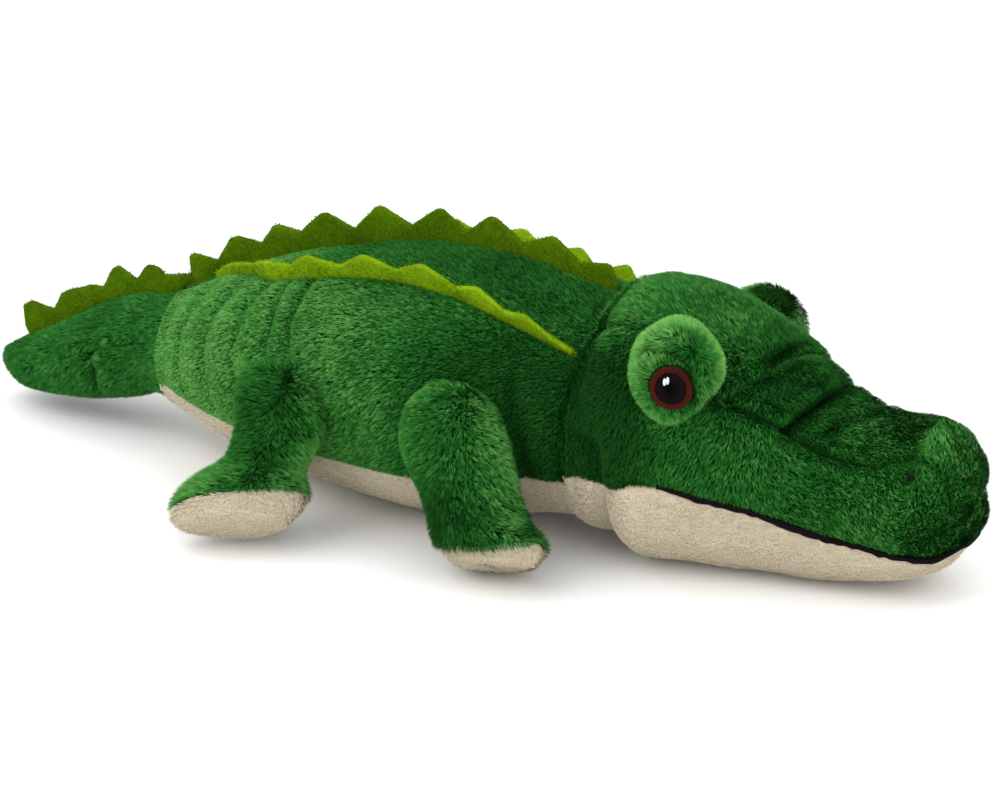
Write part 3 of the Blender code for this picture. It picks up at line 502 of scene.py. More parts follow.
def put_in_scene(name: str, mesh: bpy.types.Mesh,
                 material: bpy.types.Material) -> bpy.types.Object:
    """Give a smooth mesh its finish and an object in the scene."""
    mesh.polygons.foreach_set("use_smooth", [True] * len(mesh.polygons))
    mesh.materials.append(material)
    item = bpy.data.objects.new(name, mesh)
    bpy.context.scene.collection.objects.link(item)
    LOG.info("%s: %d faces", name, len(mesh.polygons))
    return item


def mesh_object(name: str, vertices: Array, faces: Sequence[Sequence[int]],
                material: bpy.types.Material, merge: float = 0.02) -> bpy.types.Object:
    """Make a smooth mesh object with merged doubles and outward normals.

    Args:
        name: the object's name.
        vertices: places in metres.
        faces: corner numbers of each face.
        material: the finish.
        merge: corners closer than this many millimetres become one.

    Returns:
        The new object, linked to the scene.
    """
    mesh = bpy.data.meshes.new(name)
    mesh.from_pydata(np.asarray(vertices).reshape(-1, 3).tolist(), [], list(faces))
    bm = bmesh.new()
    bm.from_mesh(mesh)
    bmesh.ops.remove_doubles(bm, verts=bm.verts, dist=merge * MM)
    bmesh.ops.dissolve_degenerate(bm, edges=bm.edges, dist=1e-6)
    bmesh.ops.recalc_face_normals(bm, faces=bm.faces)
    bm.to_mesh(mesh)
    bm.free()
    return put_in_scene(name, mesh, material)


def grid_faces(rows: int, columns: int, first: int = 0) -> list[list[int]]:
    """Return the faces of a grid of corners."""
    start = (np.arange(rows - 1)[:, None] * columns + np.arange(columns - 1)[None, :]).ravel()
    start = start + first
    return np.stack([start, start + 1, start + columns + 1, start + columns], 1).tolist()


def plate(name: str, outer: Array, inner: Array, material: bpy.types.Material,
          merge: float = 0.02) -> bpy.types.Object:
    """Make a closed padded plate from an outer and an inner grid of places."""
    rows, columns = outer.shape[:2]
    count = rows * columns
    faces = grid_faces(rows, columns)
    faces += [face[::-1] for face in grid_faces(rows, columns, count)]
    rim = [*range(columns), *range(2 * columns - 1, count, columns),
           *range(count - 2, count - columns - 1, -1),
           *range(count - 2 * columns, 0, -columns)]
    for k, corner in enumerate(rim):
        after = rim[(k + 1) % len(rim)]
        faces.append((corner, after, after + count, corner + count))
    vertices = np.concatenate([outer.reshape(-1, 3), inner.reshape(-1, 3)])
    return mesh_object(name, vertices, faces, material, merge)


@dataclass(frozen=True)
class Pile:
    """How one kind of pile stands and is toned: millimetres, degrees and shares."""

    per_mm2: float
    length: float
    width: float
    lean: float = 50.0
    tuft: float = 1.7
    gather: float = 0.55
    wander: float = 18.0
    tone: float = 0.40
    spread: float = 0.35
    patchy: float = 0.09


Field = Callable[[Spot], Array]


def nothing(spot: Spot) -> Array:
    """Return zero for every spot."""
    return np.zeros(spot.share.shape)


def whole(spot: Spot) -> Array:
    """Return one for every spot."""
    return np.ones(spot.share.shape)


@dataclass(frozen=True)
class Coat:
    """A pile with the way it is combed, and how it changes over a piece.

    The fields give a change of tone, a share of the length and a change of lean in degrees.
    """

    pile: Pile
    comb: Field
    shade: Field = nothing
    scale: Field = whole
    lean: Field = nothing


def comb_back(spot: Spot) -> Array:
    """Comb the pile towards the tail and down."""
    down = np.zeros_like(spot.point)
    down[..., 2] = -0.75
    back = -spot.along * np.sign(spot.along[..., :1])
    return back + down


def sample_patch(patch: Patch, count_per_mm2: float,
                 rng: np.random.Generator) -> tuple[Array, Array]:
    """Pick evenly scattered places on a panel.

    Args:
        patch: the panel.
        count_per_mm2: places on each square millimetre.
        rng: source of random numbers.

    Returns:
        Shares and angles.
    """
    share, angle = patch.grid()
    point = patch.spots(share, angle).point / MM
    edge_a = point[1:, :-1] - point[:-1, :-1]
    edge_b = point[:-1, 1:] - point[:-1, :-1]
    edge_c = point[1:, 1:] - point[:-1, :-1]
    area = (np.linalg.norm(np.cross(edge_a, edge_c), axis=-1)
            + np.linalg.norm(np.cross(edge_b, edge_c), axis=-1)) / 2.0
    total = float(area.sum())
    count = int(total * count_per_mm2)
    picked = rng.choice(area.size, size=count, p=(area / total).ravel())
    row, column = np.unravel_index(picked, area.shape)
    u, v = rng.random(count), rng.random(count)
    return bilinear(share, row, column, u, v), bilinear(angle, row, column, u, v)


@dataclass(frozen=True)
class Strands:
    """Kite-shaped strands: where each starts, is widest and ends, and how it takes light."""

    MAP_HALF_WIDTH = 0.006
    MAP_EDGE = 0.02

    root: Array
    mid: Array
    tip: Array
    side: Array
    normal: Array
    tone: Array

    def make(self, name: str, material: bpy.types.Material) -> bpy.types.Object:
        """Make one mesh of all the strands, with their tones kept in its map.

        Args:
            name: the object's name.
            material: the finish.

        Returns:
            The new object.
        """
        count = len(self.root)
        corners = above(np.stack([self.root, self.mid + self.side, self.mid - self.side,
                                  self.tip], 1), BACK_FLOOR)
        mesh = bpy.data.meshes.new(name)
        mesh.vertices.add(count * 4)
        mesh.vertices.foreach_set("co", corners.astype(np.float32).ravel())
        loops = np.arange(count)[:, None] * 4 + np.array([0, 1, 2, 2, 1, 3])[None, :]
        mesh.loops.add(count * 6)
        mesh.loops.foreach_set("vertex_index", loops.astype(np.int32).ravel())
        mesh.polygons.add(count * 2)
        mesh.polygons.foreach_set("loop_start", np.arange(0, count * 6, 3, dtype=np.int32))
        mesh.update(calc_edges=True)
        item = put_in_scene(name, mesh, material)
        u = self.MAP_HALF_WIDTH * np.array([0, 1, -1, -1, 1, 0])
        v = np.array([self.MAP_EDGE, 0.5, 0.5, 0.5, 0.5, 1.0 - self.MAP_EDGE])
        held = np.clip(self.tone, self.MAP_EDGE, 1.0 - self.MAP_EDGE)[:, None] + u[None, :]
        layer = mesh.uv_layers.new(name=UV_NAME)
        both = np.stack([held, np.repeat(v[None, :], count, axis=0)], axis=-1)
        layer.data.foreach_set("uv", both.astype(np.float32).ravel())
        mesh.normals_split_custom_set_from_vertices(
            np.repeat(self.normal, 4, axis=0).astype(np.float32))
        return item


def along_surface(vectors: Array, normal: Array) -> Array:
    """Take away the part of some vectors that points out of the surface."""
    return vectors - normal * (vectors * normal).sum(-1, keepdims=True)


ROOT_DEPTH = 0.25
EARLY_BEND = 0.6
LEAN_DRIFT, LEAN_BY_TUFT, LEAN_STRAY = 8.0, 14.0, 4.0
TURN_STRAY, TWIST_STRAY, NORMAL_STRAY, TONE_STRAY = 0.12, 0.25, 0.10, 0.05
TUFT_ROUNDNESS, NAP_TILT = 0.55, 0.12


def grow(spot: Spot, coat: Coat, rng: np.random.Generator, seed: int) -> Strands:
    """Grow pile on places of a surface.

    Args:
        spot: the strands' roots with their directions.
        coat: the pile and how it changes over the surface.
        rng: source of random numbers.
        seed: number of the tufts' random field.

    Returns:
        The strands.
    """
    pile, count = coat.pile, len(spot.share)
    nap = unit(along_surface(coat.comb(spot), spot.normal))
    cross = np.cross(spot.normal, nap)
    turn = np.radians(pile.wander) * (noise(spot.point, 11.0 * MM, seed + 20)
                                      + 0.7 * noise(spot.point, 4.0 * MM, seed + 21))
    turn = (turn + rng.normal(0.0, TURN_STRAY, count))[:, None]
    lay = nap * np.cos(turn) + cross * np.sin(turn)
    over = np.cross(spot.normal, lay)
    centre, mark = tufts(spot.point, pile.tuft * MM, seed)
    pull = ((centre - spot.point) * over).sum(-1, keepdims=True)
    length = (pile.length * MM * coat.scale(spot) * (0.8 + 0.4 * rng.random(count)))[:, None]
    lean = np.radians(pile.lean + coat.lean(spot)
                      + LEAN_DRIFT * noise(spot.point, 7.0 * MM, seed + 22)
                      + LEAN_BY_TUFT * (mark - 0.5)
                      + rng.normal(0.0, LEAN_STRAY, count))[:, None]
    early = lean * EARLY_BEND
    half = length / 2
    mid = (spot.point + spot.normal * half * np.cos(early) + lay * half * np.sin(early)
           + over * pull * pile.gather * 0.5)
    tip = (mid + spot.normal * half * np.cos(lean) + lay * half * np.sin(lean)
           + over * pull * pile.gather * 0.5)
    twist = rng.normal(0.0, TWIST_STRAY, count)[:, None]
    flat = unit(np.cross(tip - spot.point, spot.normal))
    edge = np.cross(flat, unit(tip - spot.point))
    width = pile.width * MM * 0.5 * (0.8 + 0.4 * rng.random(count))[:, None]
    side = (flat * np.cos(twist) + edge * np.sin(twist)) * width
    rounded = np.clip(-pull / (pile.tuft * MM * 0.5), -1.0, 1.0)
    normal = unit(spot.normal + over * rounded * TUFT_ROUNDNESS - lay * NAP_TILT
                  + rng.normal(0.0, NORMAL_STRAY, (count, 3)))
    root = spot.point - spot.normal * (ROOT_DEPTH * MM)
    tone = (pile.tone + coat.shade(spot) + pile.spread * (mark - 0.5)
            + pile.patchy * noise(spot.point, 26.0 * MM, 5)
            + pile.patchy * noise(spot.point, 12.0 * MM, 6)
            + rng.normal(0.0, TONE_STRAY, count))
    return Strands(root, mid, tip, side, normal, tone)


# Finishes


class Nodes:
    """A short way to write a node tree."""

    def __init__(self, tree: bpy.types.NodeTree) -> None:
        """Keep the tree that the nodes go into."""
        self.tree = tree

    def feed(self, node: bpy.types.Node, given: dict[str | int, object]) -> None:
        """Give each named input its value, or link the socket that feeds it."""
        for key, value in given.items():
            if isinstance(value, bpy.types.NodeSocket):
                self.tree.links.new(value, node.inputs[key])
            else:
                node.inputs[key].default_value = value

    def add(self, kind: str, given: dict[str | int, object] | None = None,
            **settings: object) -> bpy.types.Node:
        """Add a node.

        Args:
            kind: the node's type.
            given: what each input gets, by the input's name or number.
            settings: the node's plain settings.

        Returns:
            The node.
        """
        node = self.tree.nodes.new(kind)
        for key, value in settings.items():
            setattr(node, key, value)
        self.feed(node, given or {})
        return node

    def mix(self, share: object, low: object, high: object) -> bpy.types.NodeSocket:
        """Return a mix of two colours."""
        given = {0: share, 6: low, 7: high}
        return self.add("ShaderNodeMix", given, data_type="RGBA").outputs[2]

    def ramp(self, given: dict[str, object], **settings: object) -> bpy.types.NodeSocket:
        """Return a value moved from one range to another."""
        return self.add("ShaderNodeMapRange", given, **settings).outputs["Result"]


def new_material(name: str) -> tuple[bpy.types.Material, Nodes, bpy.types.Node]:
    """Return a new material, a helper for its nodes and its Principled node."""
    material = bpy.data.materials.new(name)
    material.use_nodes = True
    return material, Nodes(material.node_tree), material.node_tree.nodes["Principled BSDF"]


def tone_group() -> bpy.types.NodeTree:
    """Make the group that colours a strand by its tone and by the height on it, with painted
    shade towards the root and painted light at the tip.

    Returns:
        A group with inputs Tone, Height, Tip, Root, Deep, Mid, Light and one output, Colour.
    """
    known = bpy.data.node_groups.get("strand_tone")
    if known:
        return known
    group = bpy.data.node_groups.new("strand_tone", "ShaderNodeTree")
    face = group.interface
    for kind, labels in (("Float", ("Tone", "Height", "Tip")),
                         ("Color", ("Root", "Deep", "Mid", "Light"))):
        for label in labels:
            face.new_socket(name=label, in_out="INPUT", socket_type="NodeSocket" + kind)
    face.new_socket(name="Colour", in_out="OUTPUT", socket_type="NodeSocketColor")
    nodes = Nodes(group)
    given = nodes.add("NodeGroupInput").outputs
    lower = nodes.ramp({"Value": given["Tone"], "From Min": 0.0, "From Max": 0.4})
    upper = nodes.ramp({"Value": given["Tone"], "From Min": 0.4, "From Max": 1.0})
    body = nodes.mix(upper, nodes.mix(lower, given["Deep"], given["Mid"]), given["Light"])
    # Painted shade: the Root colour towards the strand's root. Painted light: the Light colour
    # mixed in at its tip.
    rise = nodes.ramp({"Value": given["Height"], "From Min": 0.05, "From Max": 0.7},
                      interpolation_type="SMOOTHSTEP")
    end = nodes.ramp({"Value": given["Height"], "From Min": 0.45, "To Max": given["Tip"]})
    colour = nodes.mix(end, nodes.mix(rise, given["Root"], body), given["Light"])
    nodes.add("NodeGroupOutput", {"Colour": colour})
    return group


@dataclass(frozen=True)
class StrandFinish:
    """The finish of pile strands: painted shade at the root, painted light at the tip, and
    lighter or darker by tuft.
    """

    name: str
    root: Colour
    deep: Colour
    mid: Colour
    light: Colour

    def make(self) -> bpy.types.Material:
        """Return the material."""
        material, nodes, shader = new_material(self.name)
        where = nodes.add("ShaderNodeUVMap", uv_map=UV_NAME).outputs["UV"]
        parts = nodes.add("ShaderNodeSeparateXYZ", {0: where}).outputs
        tone = nodes.add("ShaderNodeGroup", node_tree=tone_group())
        nodes.feed(tone, {"Tone": parts["X"], "Height": parts["Y"], "Tip": 0.10,
                          "Root": self.root, "Deep": self.deep, "Mid": self.mid,
                          "Light": self.light})
        nodes.feed(shader, {"Base Color": tone.outputs["Colour"], "Roughness": 0.8,
                            "Sheen Weight": 0.06, "Sheen Roughness": 0.4,
                            "Sheen Tint": self.light, "Specular IOR Level": 0.05})
        return material


@dataclass(frozen=True)
class ClothFinish:
    """The finish of a cloth face: two colours in fine patches, with a soft bump."""

    name: str
    dark: Colour
    light: Colour
    grain: float = 900.0
    bump: float = 0.5
    roughness: float = 0.9
    sheen: float = 0.0

    def make(self) -> bpy.types.Material:
        """Return the material."""
        material, nodes, shader = new_material(self.name)
        where = nodes.add("ShaderNodeTexCoord").outputs["Object"]
        fine, wide = (
            nodes.add("ShaderNodeTexNoise",
                      {"Vector": where, "Scale": scale, "Detail": detail}).outputs["Fac"]
            for scale, detail in ((self.grain, 3.0), (self.grain / 14.0, 2.0)))
        part = nodes.add("ShaderNodeMath", {0: wide, 1: 0.4}, operation="MULTIPLY")
        both = nodes.add("ShaderNodeMath", {0: fine, 1: 0.6, 2: part.outputs[0]},
                         operation="MULTIPLY_ADD")
        share = nodes.ramp({"Value": both.outputs[0], "From Min": 0.3, "From Max": 0.7})
        bump = nodes.add("ShaderNodeBump", {"Strength": self.bump, "Distance": 0.3 * MM,
                                            "Height": fine})
        nodes.feed(shader, {"Base Color": nodes.mix(share, self.dark, self.light),
                            "Normal": bump.outputs["Normal"], "Roughness": self.roughness,
                            "Sheen Weight": self.sheen, "Sheen Tint": self.light,
                            "Specular IOR Level": 0.05})
        return material


# A strand finish's root colour is painted shade deep in the pile, and its light colour is also
# painted light at the tip.
FINISHES = {
    "green": StrandFinish("green_pile", linear(0, 30, 2), linear(0, 56, 8),
                          linear(31, 105, 34), linear(112, 176, 86)),
    "cream": StrandFinish("cream_pile", linear(140, 126, 102), linear(184, 172, 147),
                          linear(206, 195, 170), linear(226, 216, 192)),
    "ground": ClothFinish("green_backing", linear(0, 28, 2), linear(4, 50, 8), bump=0.15),
    "velour": ClothFinish("cream_velour", linear(184, 172, 147), linear(212, 201, 177),
                          grain=1500.0, bump=0.15, sheen=0.1),
    "felt": ClothFinish("olive_felt", linear(42, 72, 0), linear(82, 116, 2), grain=1100.0,
                        sheen=0.05),
    "fuzz": StrandFinish("olive_fuzz", linear(40, 70, 0), linear(50, 84, 0),
                         linear(80, 114, 4), linear(118, 152, 14)),
    # Copies of the olive felt and fuzz with painted light, for the side ridges.
    "pale_felt": ClothFinish("olive_felt_pale", linear(80, 116, 2), linear(136, 172, 16),
                             grain=1100.0, sheen=0.05),
    "pale_fuzz": StrandFinish("olive_fuzz_pale", linear(66, 100, 2), linear(80, 116, 6),
                              linear(116, 154, 14), linear(152, 188, 34)),
    "black": ClothFinish("black_thread", linear(4, 3, 4), linear(18, 12, 13), grain=1400.0,
                         roughness=0.7),
    "brown": ClothFinish("brown_thread", linear(32, 6, 5), linear(78, 24, 15), grain=1700.0,
                         roughness=0.55, sheen=0.1),
    "white": ClothFinish("white_thread", linear(214, 216, 220), linear(244, 244, 246),
                         grain=1400.0, roughness=0.5, sheen=0.1),
}


# Sizes of the forms: the part's own tables, with some rows moved by a few millimetres

BODY_LENGTH = 191.0
BODY_HEIGHT = 47.0
NECK_CENTRE = (31.5, 0.0, 53.016)
NECK_RADIUS = 60.0
TAIL_CENTRE = (-123.2, 0.0, 40.984)
TAIL_LENGTH = 92.8
TAIL_RIDGE_LENGTH = 95.0
BODY_ROWS = (
    (0.000, 0.872, 0.450, 0.532), (0.073, 0.915, 0.600, 0.650), (0.204, 0.979, 0.800, 0.830),
    (0.361, 1.048, 0.950, 0.963), (0.545, 1.074, 1.000, 1.087), (0.728, 1.085, 0.967, 1.109),
    (0.885, 1.133, 0.867, 0.984), (1.000, 1.128, 0.783, 0.872))
TAIL_ROWS = (
    (-0.144, 0.872, 0.900, 0.940), (-0.074, 0.872, 1.035, 1.020), (0.0, 0.872, 1.085, 1.040),
    (0.074, 0.868, 1.020, 0.975), (0.137, 0.851, 0.965, 0.930), (0.210, 0.815, 1.000, 0.990),
    (0.353, 0.723, 1.000, 0.956), (0.464, 0.652, 0.990, 0.898), (0.584, 0.574, 0.970, 0.778),
    (0.700, 0.504, 0.910, 0.653), (0.826, 0.443, 0.750, 0.502), (0.920, 0.421, 0.500, 0.347),
    (0.975, 0.415, 0.270, 0.200))
HEAD_ROWS = (
    (0.000, 1.082, 0.942, 0.905), (0.100, 1.102, 1.000, 1.000), (0.220, 1.050, 0.990, 1.040),
    (0.356, 0.970, 0.895, 0.985), (0.476, 0.890, 0.775, 0.885), (0.604, 0.744, 0.675, 0.738),
    (0.738, 0.700, 0.610, 0.640), (0.852, 0.745, 0.570, 0.602), (0.930, 0.776, 0.460, 0.510),
    (0.975, 0.806, 0.290, 0.327))
RIDGE_FAN = ((0.0, 0.16), (0.13, 0.20), (0.266, 0.51), (0.45, 0.59), (0.607, 0.67),
             (0.74, 0.75), (0.85, 0.86), (1.0, 1.0))
RIDGE_REACH = math.radians(51.0)
SPINE_LEAN = ((0.0, 0.0), (0.26, 0.25), (0.6, 1.0), (1.0, 1.0))
MOUTH_SEAM = ((-0.1, 34.0), (0.0, 36.5), (0.045, 35.5), (0.08, 31.5), (0.115, 35.5),
              (0.17, 38.8), (0.262, 38.4), (0.444, 32.6), (0.56, 27.4), (0.659, 23.6),
              (0.83, 19.4), (0.912, 18.8), (0.947, 21.0), (1.0, 25.0))
CROWN_SEAM = ((-0.3, 0.50), (0.10, 0.58), (0.30, 0.70), (0.377, 0.73), (0.45, 0.67),
              (0.526, 0.61), (0.623, 0.54), (0.738, 0.48), (0.846, 0.40), (1.30, 0.30))
RIGHT_ANGLE = math.pi / 2
BELLY_SEAM = math.radians(27.0)


def column(table: Sequence[tuple[float, float]], at: Array) -> Array:
    """Read a table of two columns along straight lines."""
    return np.interp(at, [row[0] for row in table], [row[1] for row in table])


def head_place() -> Matrix:
    """Return how the head leans about the neck's centre, in metres."""
    centre = Vector(NECK_CENTRE) * MM
    turn = (Matrix.Rotation(math.radians(4.0), 4, "Z")
            @ Matrix.Rotation(math.radians(-4.0), 4, "X"))
    return Matrix.Translation(centre) @ turn @ Matrix.Translation(-centre)


@dataclass(frozen=True)
class Fabric:
    """A pile fabric: the finishes of its backing and its pile, and its slot in the record."""

    backing: str
    pile: str
    slot: str


GREEN = Fabric("ground", "green", "green_pile")
CREAM = Fabric("velour", "cream", "cream_velour")


@dataclass
class Kit:
    """What every sub-assembly is made with.

    The capitals say how far beside a seam the pile is trimmed and given painted shade, in
    millimetres, and how much its tone and length change at a seam and for each millimetre of a
    fold; the change of tone is painted shade.
    """

    TRIM_WIDTH = 2.6
    DARK_WIDTH = 1.8
    # Painted shade beside the seams and in the folds.
    SEAM_DARK = 0.16
    FOLD_DARK = 0.11
    FOLD_TRIM = 0.14

    finish: dict[str, bpy.types.Material]
    rng: np.random.Generator
    thin: float

    def dress(self, item: bpy.types.Object, body: str, slot: str,
              nodes: Sequence[str] = (), fill: float | None = None) -> None:
        """Tie a finished piece to the frame.

        Args:
            item: the piece.
            body: the frame's body that it moves with.
            slot: not used.
            nodes: the part's nodes that it stands for.
            fill: not used.
        """
        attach(item, body)
        if nodes:
            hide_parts(*nodes)

    def cover(self, name: str, patch: Patch, coat: Coat, fabric: Fabric, body: str,
              nodes: Sequence[str], seed: int, fill: float = 0.75,
              furred: Patch | None = None) -> None:
        """Make one padded panel with its pile.

        Args:
            name: what the panel is called.
            patch: the panel.
            coat: its pile.
            fabric: its finishes and slot.
            body: the frame's body that it moves with.
            nodes: the part's nodes that it stands for.
            seed: number of the pile's random fields.
            fill: how full it is, from 0 to 1.
            furred: the part of it that has pile, where that isn't all of it.
        """
        spot = patch.spots(*patch.grid())
        inner = above(spot.point - spot.normal * SKIN_THICKNESS * MM, BACK_FLOOR)
        item = plate("skin_" + name, spot.point, inner, self.finish[fabric.backing])
        self.dress(item, body, fabric.slot, nodes, fill)
        strands = self.grown(furred or patch, coat, seed)
        item = strands.make("pile_" + name, self.finish[fabric.pile])
        self.dress(item, body, fabric.slot)

    def cover_all(self, patches: dict[str, Patch], green: Coat, cream: Coat, body: str,
                  pale: dict[str, str], seed: int) -> None:
        """Make the panels of a form.

        Args:
            patches: the panels by name.
            green: the pile of most of them.
            cream: the pile of the pale ones.
            body: the frame's body that they move with.
            pale: the pale panels, each with the stuffing that it stands for too.
            seed: number of the first panel's random fields.
        """
        for k, (name, patch) in enumerate(patches.items()):
            coat, fabric = (cream, CREAM) if name in pale else (green, GREEN)
            nodes = [name, pale[name]] if name in pale else [name]
            self.cover(name, patch, coat, fabric, body, nodes, seed + k)

    def grown(self, patch: Patch, coat: Coat, seed: int) -> Strands:
        """Grow pile over one panel, shorter in its folds and beside its seams, with painted
        shade there.
        """
        share, angle = sample_patch(patch, coat.pile.per_mm2 * self.thin, self.rng)
        spot = patch.spots(share, angle)
        sunk = np.minimum(patch.surface.relief(share, angle), 0.0)
        by_seam = 1.0 - patch.seam_trim * patch.near_seam(spot, self.TRIM_WIDTH)
        by_fold = np.maximum(1.0 + self.FOLD_TRIM * sunk, 0.45)
        # The tone gets painted shade in the folds and beside the seams.
        fitted = replace(
            coat, shade=lambda s: (coat.shade(s) + np.maximum(self.FOLD_DARK * sunk, -0.4)
                                   - self.SEAM_DARK * patch.near_seam(spot, self.DARK_WIDTH)),
            scale=lambda s: coat.scale(s) * by_seam * by_fold)
        return grow(spot, fitted, self.rng, seed)


BODY_PILE = Pile(per_mm2=5.3, length=2.2, width=0.31, lean=56.0, tuft=1.35)
LEG_PILE = Pile(per_mm2=5.5, length=2.8, width=0.35, lean=44.0, tuft=1.6)
CREAM_PILE = Pile(per_mm2=3.0, length=1.4, width=0.30, lean=60.0, tuft=1.3, gather=0.25,
                  spread=0.20, patchy=0.03)


class Body:
    """The body's five padded panels with their pile."""

    STEP = 0.0085
    SEED = 40
    # Changes of the pile's tone: painted light on the rear, painted shade on the front, the
    # front flanks, the neck crease and the top.
    REAR_LIGHT, FRONT_DARK, TOP_DARK = 0.23, 0.25, 0.18
    FLANK_DARK, NECK_DARK = 0.30, 0.12
    REAR_LEAN, FRONT_RISE = 10.0, 22.0

    def __init__(self, kit: Kit) -> None:
        self.kit = kit
        self.form = Form(
            Profile(BODY_ROWS), start=-122.2, length=BODY_LENGTH,
            sizes=(BODY_HEIGHT, 60.0, BODY_HEIGHT),
            ends=(BallEnd(TAIL_CENTRE, 21.5, 0.0, 0.03, -0.05, 0.32),
                  BallEnd(NECK_CENTRE, NECK_RADIUS, 1.0, 0.08, 0.10, 0.35)),
            folds=(
                Fold(((112, .392), (122, .389), (141, .390), (156, .413)), 1.5, 1.9, 0.2),
                Fold(((112, .335), (124, .330), (146, .347), (158, .352)), 1.4, 1.9, 0.2),
                Fold(((116, .285), (136, .255), (162, .262), (188, .30)), 1.0, 3.4, 0.3),
                Fold(((118, .200), (140, .165), (166, .170), (196, .20)), 1.1, 3.6, 0.4),
                Fold(((120, .105), (145, .080), (172, .085), (196, .10)), 0.8, 3.2, 0.3),
                Fold(((28, .36), (45, .38), (68, .40)), 1.8, 1.8, 0.8),
                Fold(((150, .905), (185, .925), (205, .93)), 2.2, 3.0, 0.8),
            ))

    def spine(self, share: Array) -> Array:
        """Return the middle seam's angle."""
        return RIGHT_ANGLE - math.radians(8.0) * column(SPINE_LEAN, share)

    def ridge_left(self, share: Array) -> Array:
        """Return the left ridge's angle."""
        return self.spine(share) - RIDGE_REACH * column(RIDGE_FAN, share)

    def ridge_right(self, share: Array) -> Array:
        """Return the right ridge's angle."""
        return self.spine(share) + RIDGE_REACH * column(RIDGE_FAN, share)

    def patches(self) -> dict[str, Patch]:
        """Return the five panels."""
        shares = spread(-0.05, 1.10, self.STEP)
        low_left, low_right = level(-BELLY_SEAM), level(math.pi + BELLY_SEAM)
        edges = {
            "back_panel_left": (self.ridge_left, self.spine, 24),
            "back_panel_right": (self.spine, self.ridge_right, 24),
            "side_panel_left": (low_left, self.ridge_left, 46),
            "side_panel_right": (self.ridge_right, low_right, 46),
            "belly_panel": (low_right, level(2 * math.pi - BELLY_SEAM), 40),
        }
        return {name: Patch(self.form, shares, *edge) for name, edge in edges.items()}

    def shade(self, spot: Spot) -> Array:
        """Paint light onto the rear of the body, and paint shade onto its front, front flanks,
        neck and top.
        """
        front = ease((spot.share - 0.25) / 0.45)
        neck = ease((spot.share - 0.80) / 0.15)
        side = 1.0 - ease((np.sin(spot.angle) - 0.55) / 0.35)
        top = ease((np.sin(spot.angle) - 0.80) / 0.15) * ease((spot.share - 0.25) / 0.2)
        dark = self.FLANK_DARK * ease((spot.share - 0.6) / 0.22) + self.NECK_DARK * neck
        return self.REAR_LIGHT - self.FRONT_DARK * front - dark * side - self.TOP_DARK * top

    def lean(self, spot: Spot) -> Array:
        """Lay the pile flat at the rear and raise it towards the neck."""
        return self.REAR_LEAN - self.FRONT_RISE * ease((spot.share - 0.30) / 0.5)

    def build(self) -> None:
        """Make the panels and their pile."""
        green = Coat(BODY_PILE, comb_back, self.shade, lean=self.lean)
        cream = Coat(replace(CREAM_PILE, per_mm2=1.8, width=0.36), comb_back)
        self.kit.cover_all(self.patches(), green, cream, "torso",
                           {"belly_panel": "body_stuffing"}, self.SEED)


class Tail:
    """The tail's two padded panels with their pile."""

    STEP = 0.011
    SEED = 60
    LEAN = 8.0

    def __init__(self, kit: Kit) -> None:
        self.kit = kit
        self.form = Form(
            Profile(TAIL_ROWS), start=TAIL_CENTRE[0], length=-TAIL_LENGTH,
            sizes=(BODY_HEIGHT, 23.5, 21.9),
            cap_start=0.965, ripple=0.4,
            folds=(
                Fold(((.08, 166), (.20, 168), (.42, 169), (.53, 170)), 4.2, 1.8, 1.2,
                     Run.LENGTHWISE, fade=8.0),
                Fold(((168, .372), (195, .36), (225, .385)), 2.6, 2.2, 0.8),
                Fold(((150, .245), (166, .25)), 0.8, 1.6, 0.3),
                Fold(((20, .40), (-20, .38)), 1.0, 2.4, 0.4),
            ))

    def build(self) -> None:
        """Make the panels and their pile."""
        shares = to_cap(-0.14, self.STEP)
        coat = Coat(replace(LEG_PILE, tone=0.30), comb_back,
                    lean=lambda spot: np.full_like(spot.share, self.LEAN))
        for k, side in enumerate(Side):
            low = -side.value * RIGHT_ANGLE
            patch = Patch(self.form, shares, level(low), level(low + math.pi), 44)
            name = "tail_panel_" + side.label
            nodes = [name, "tail_stuffing"] if side is Side.LEFT else [name]
            self.kit.cover(name, patch, coat, GREEN, "tail", nodes, self.SEED + k)


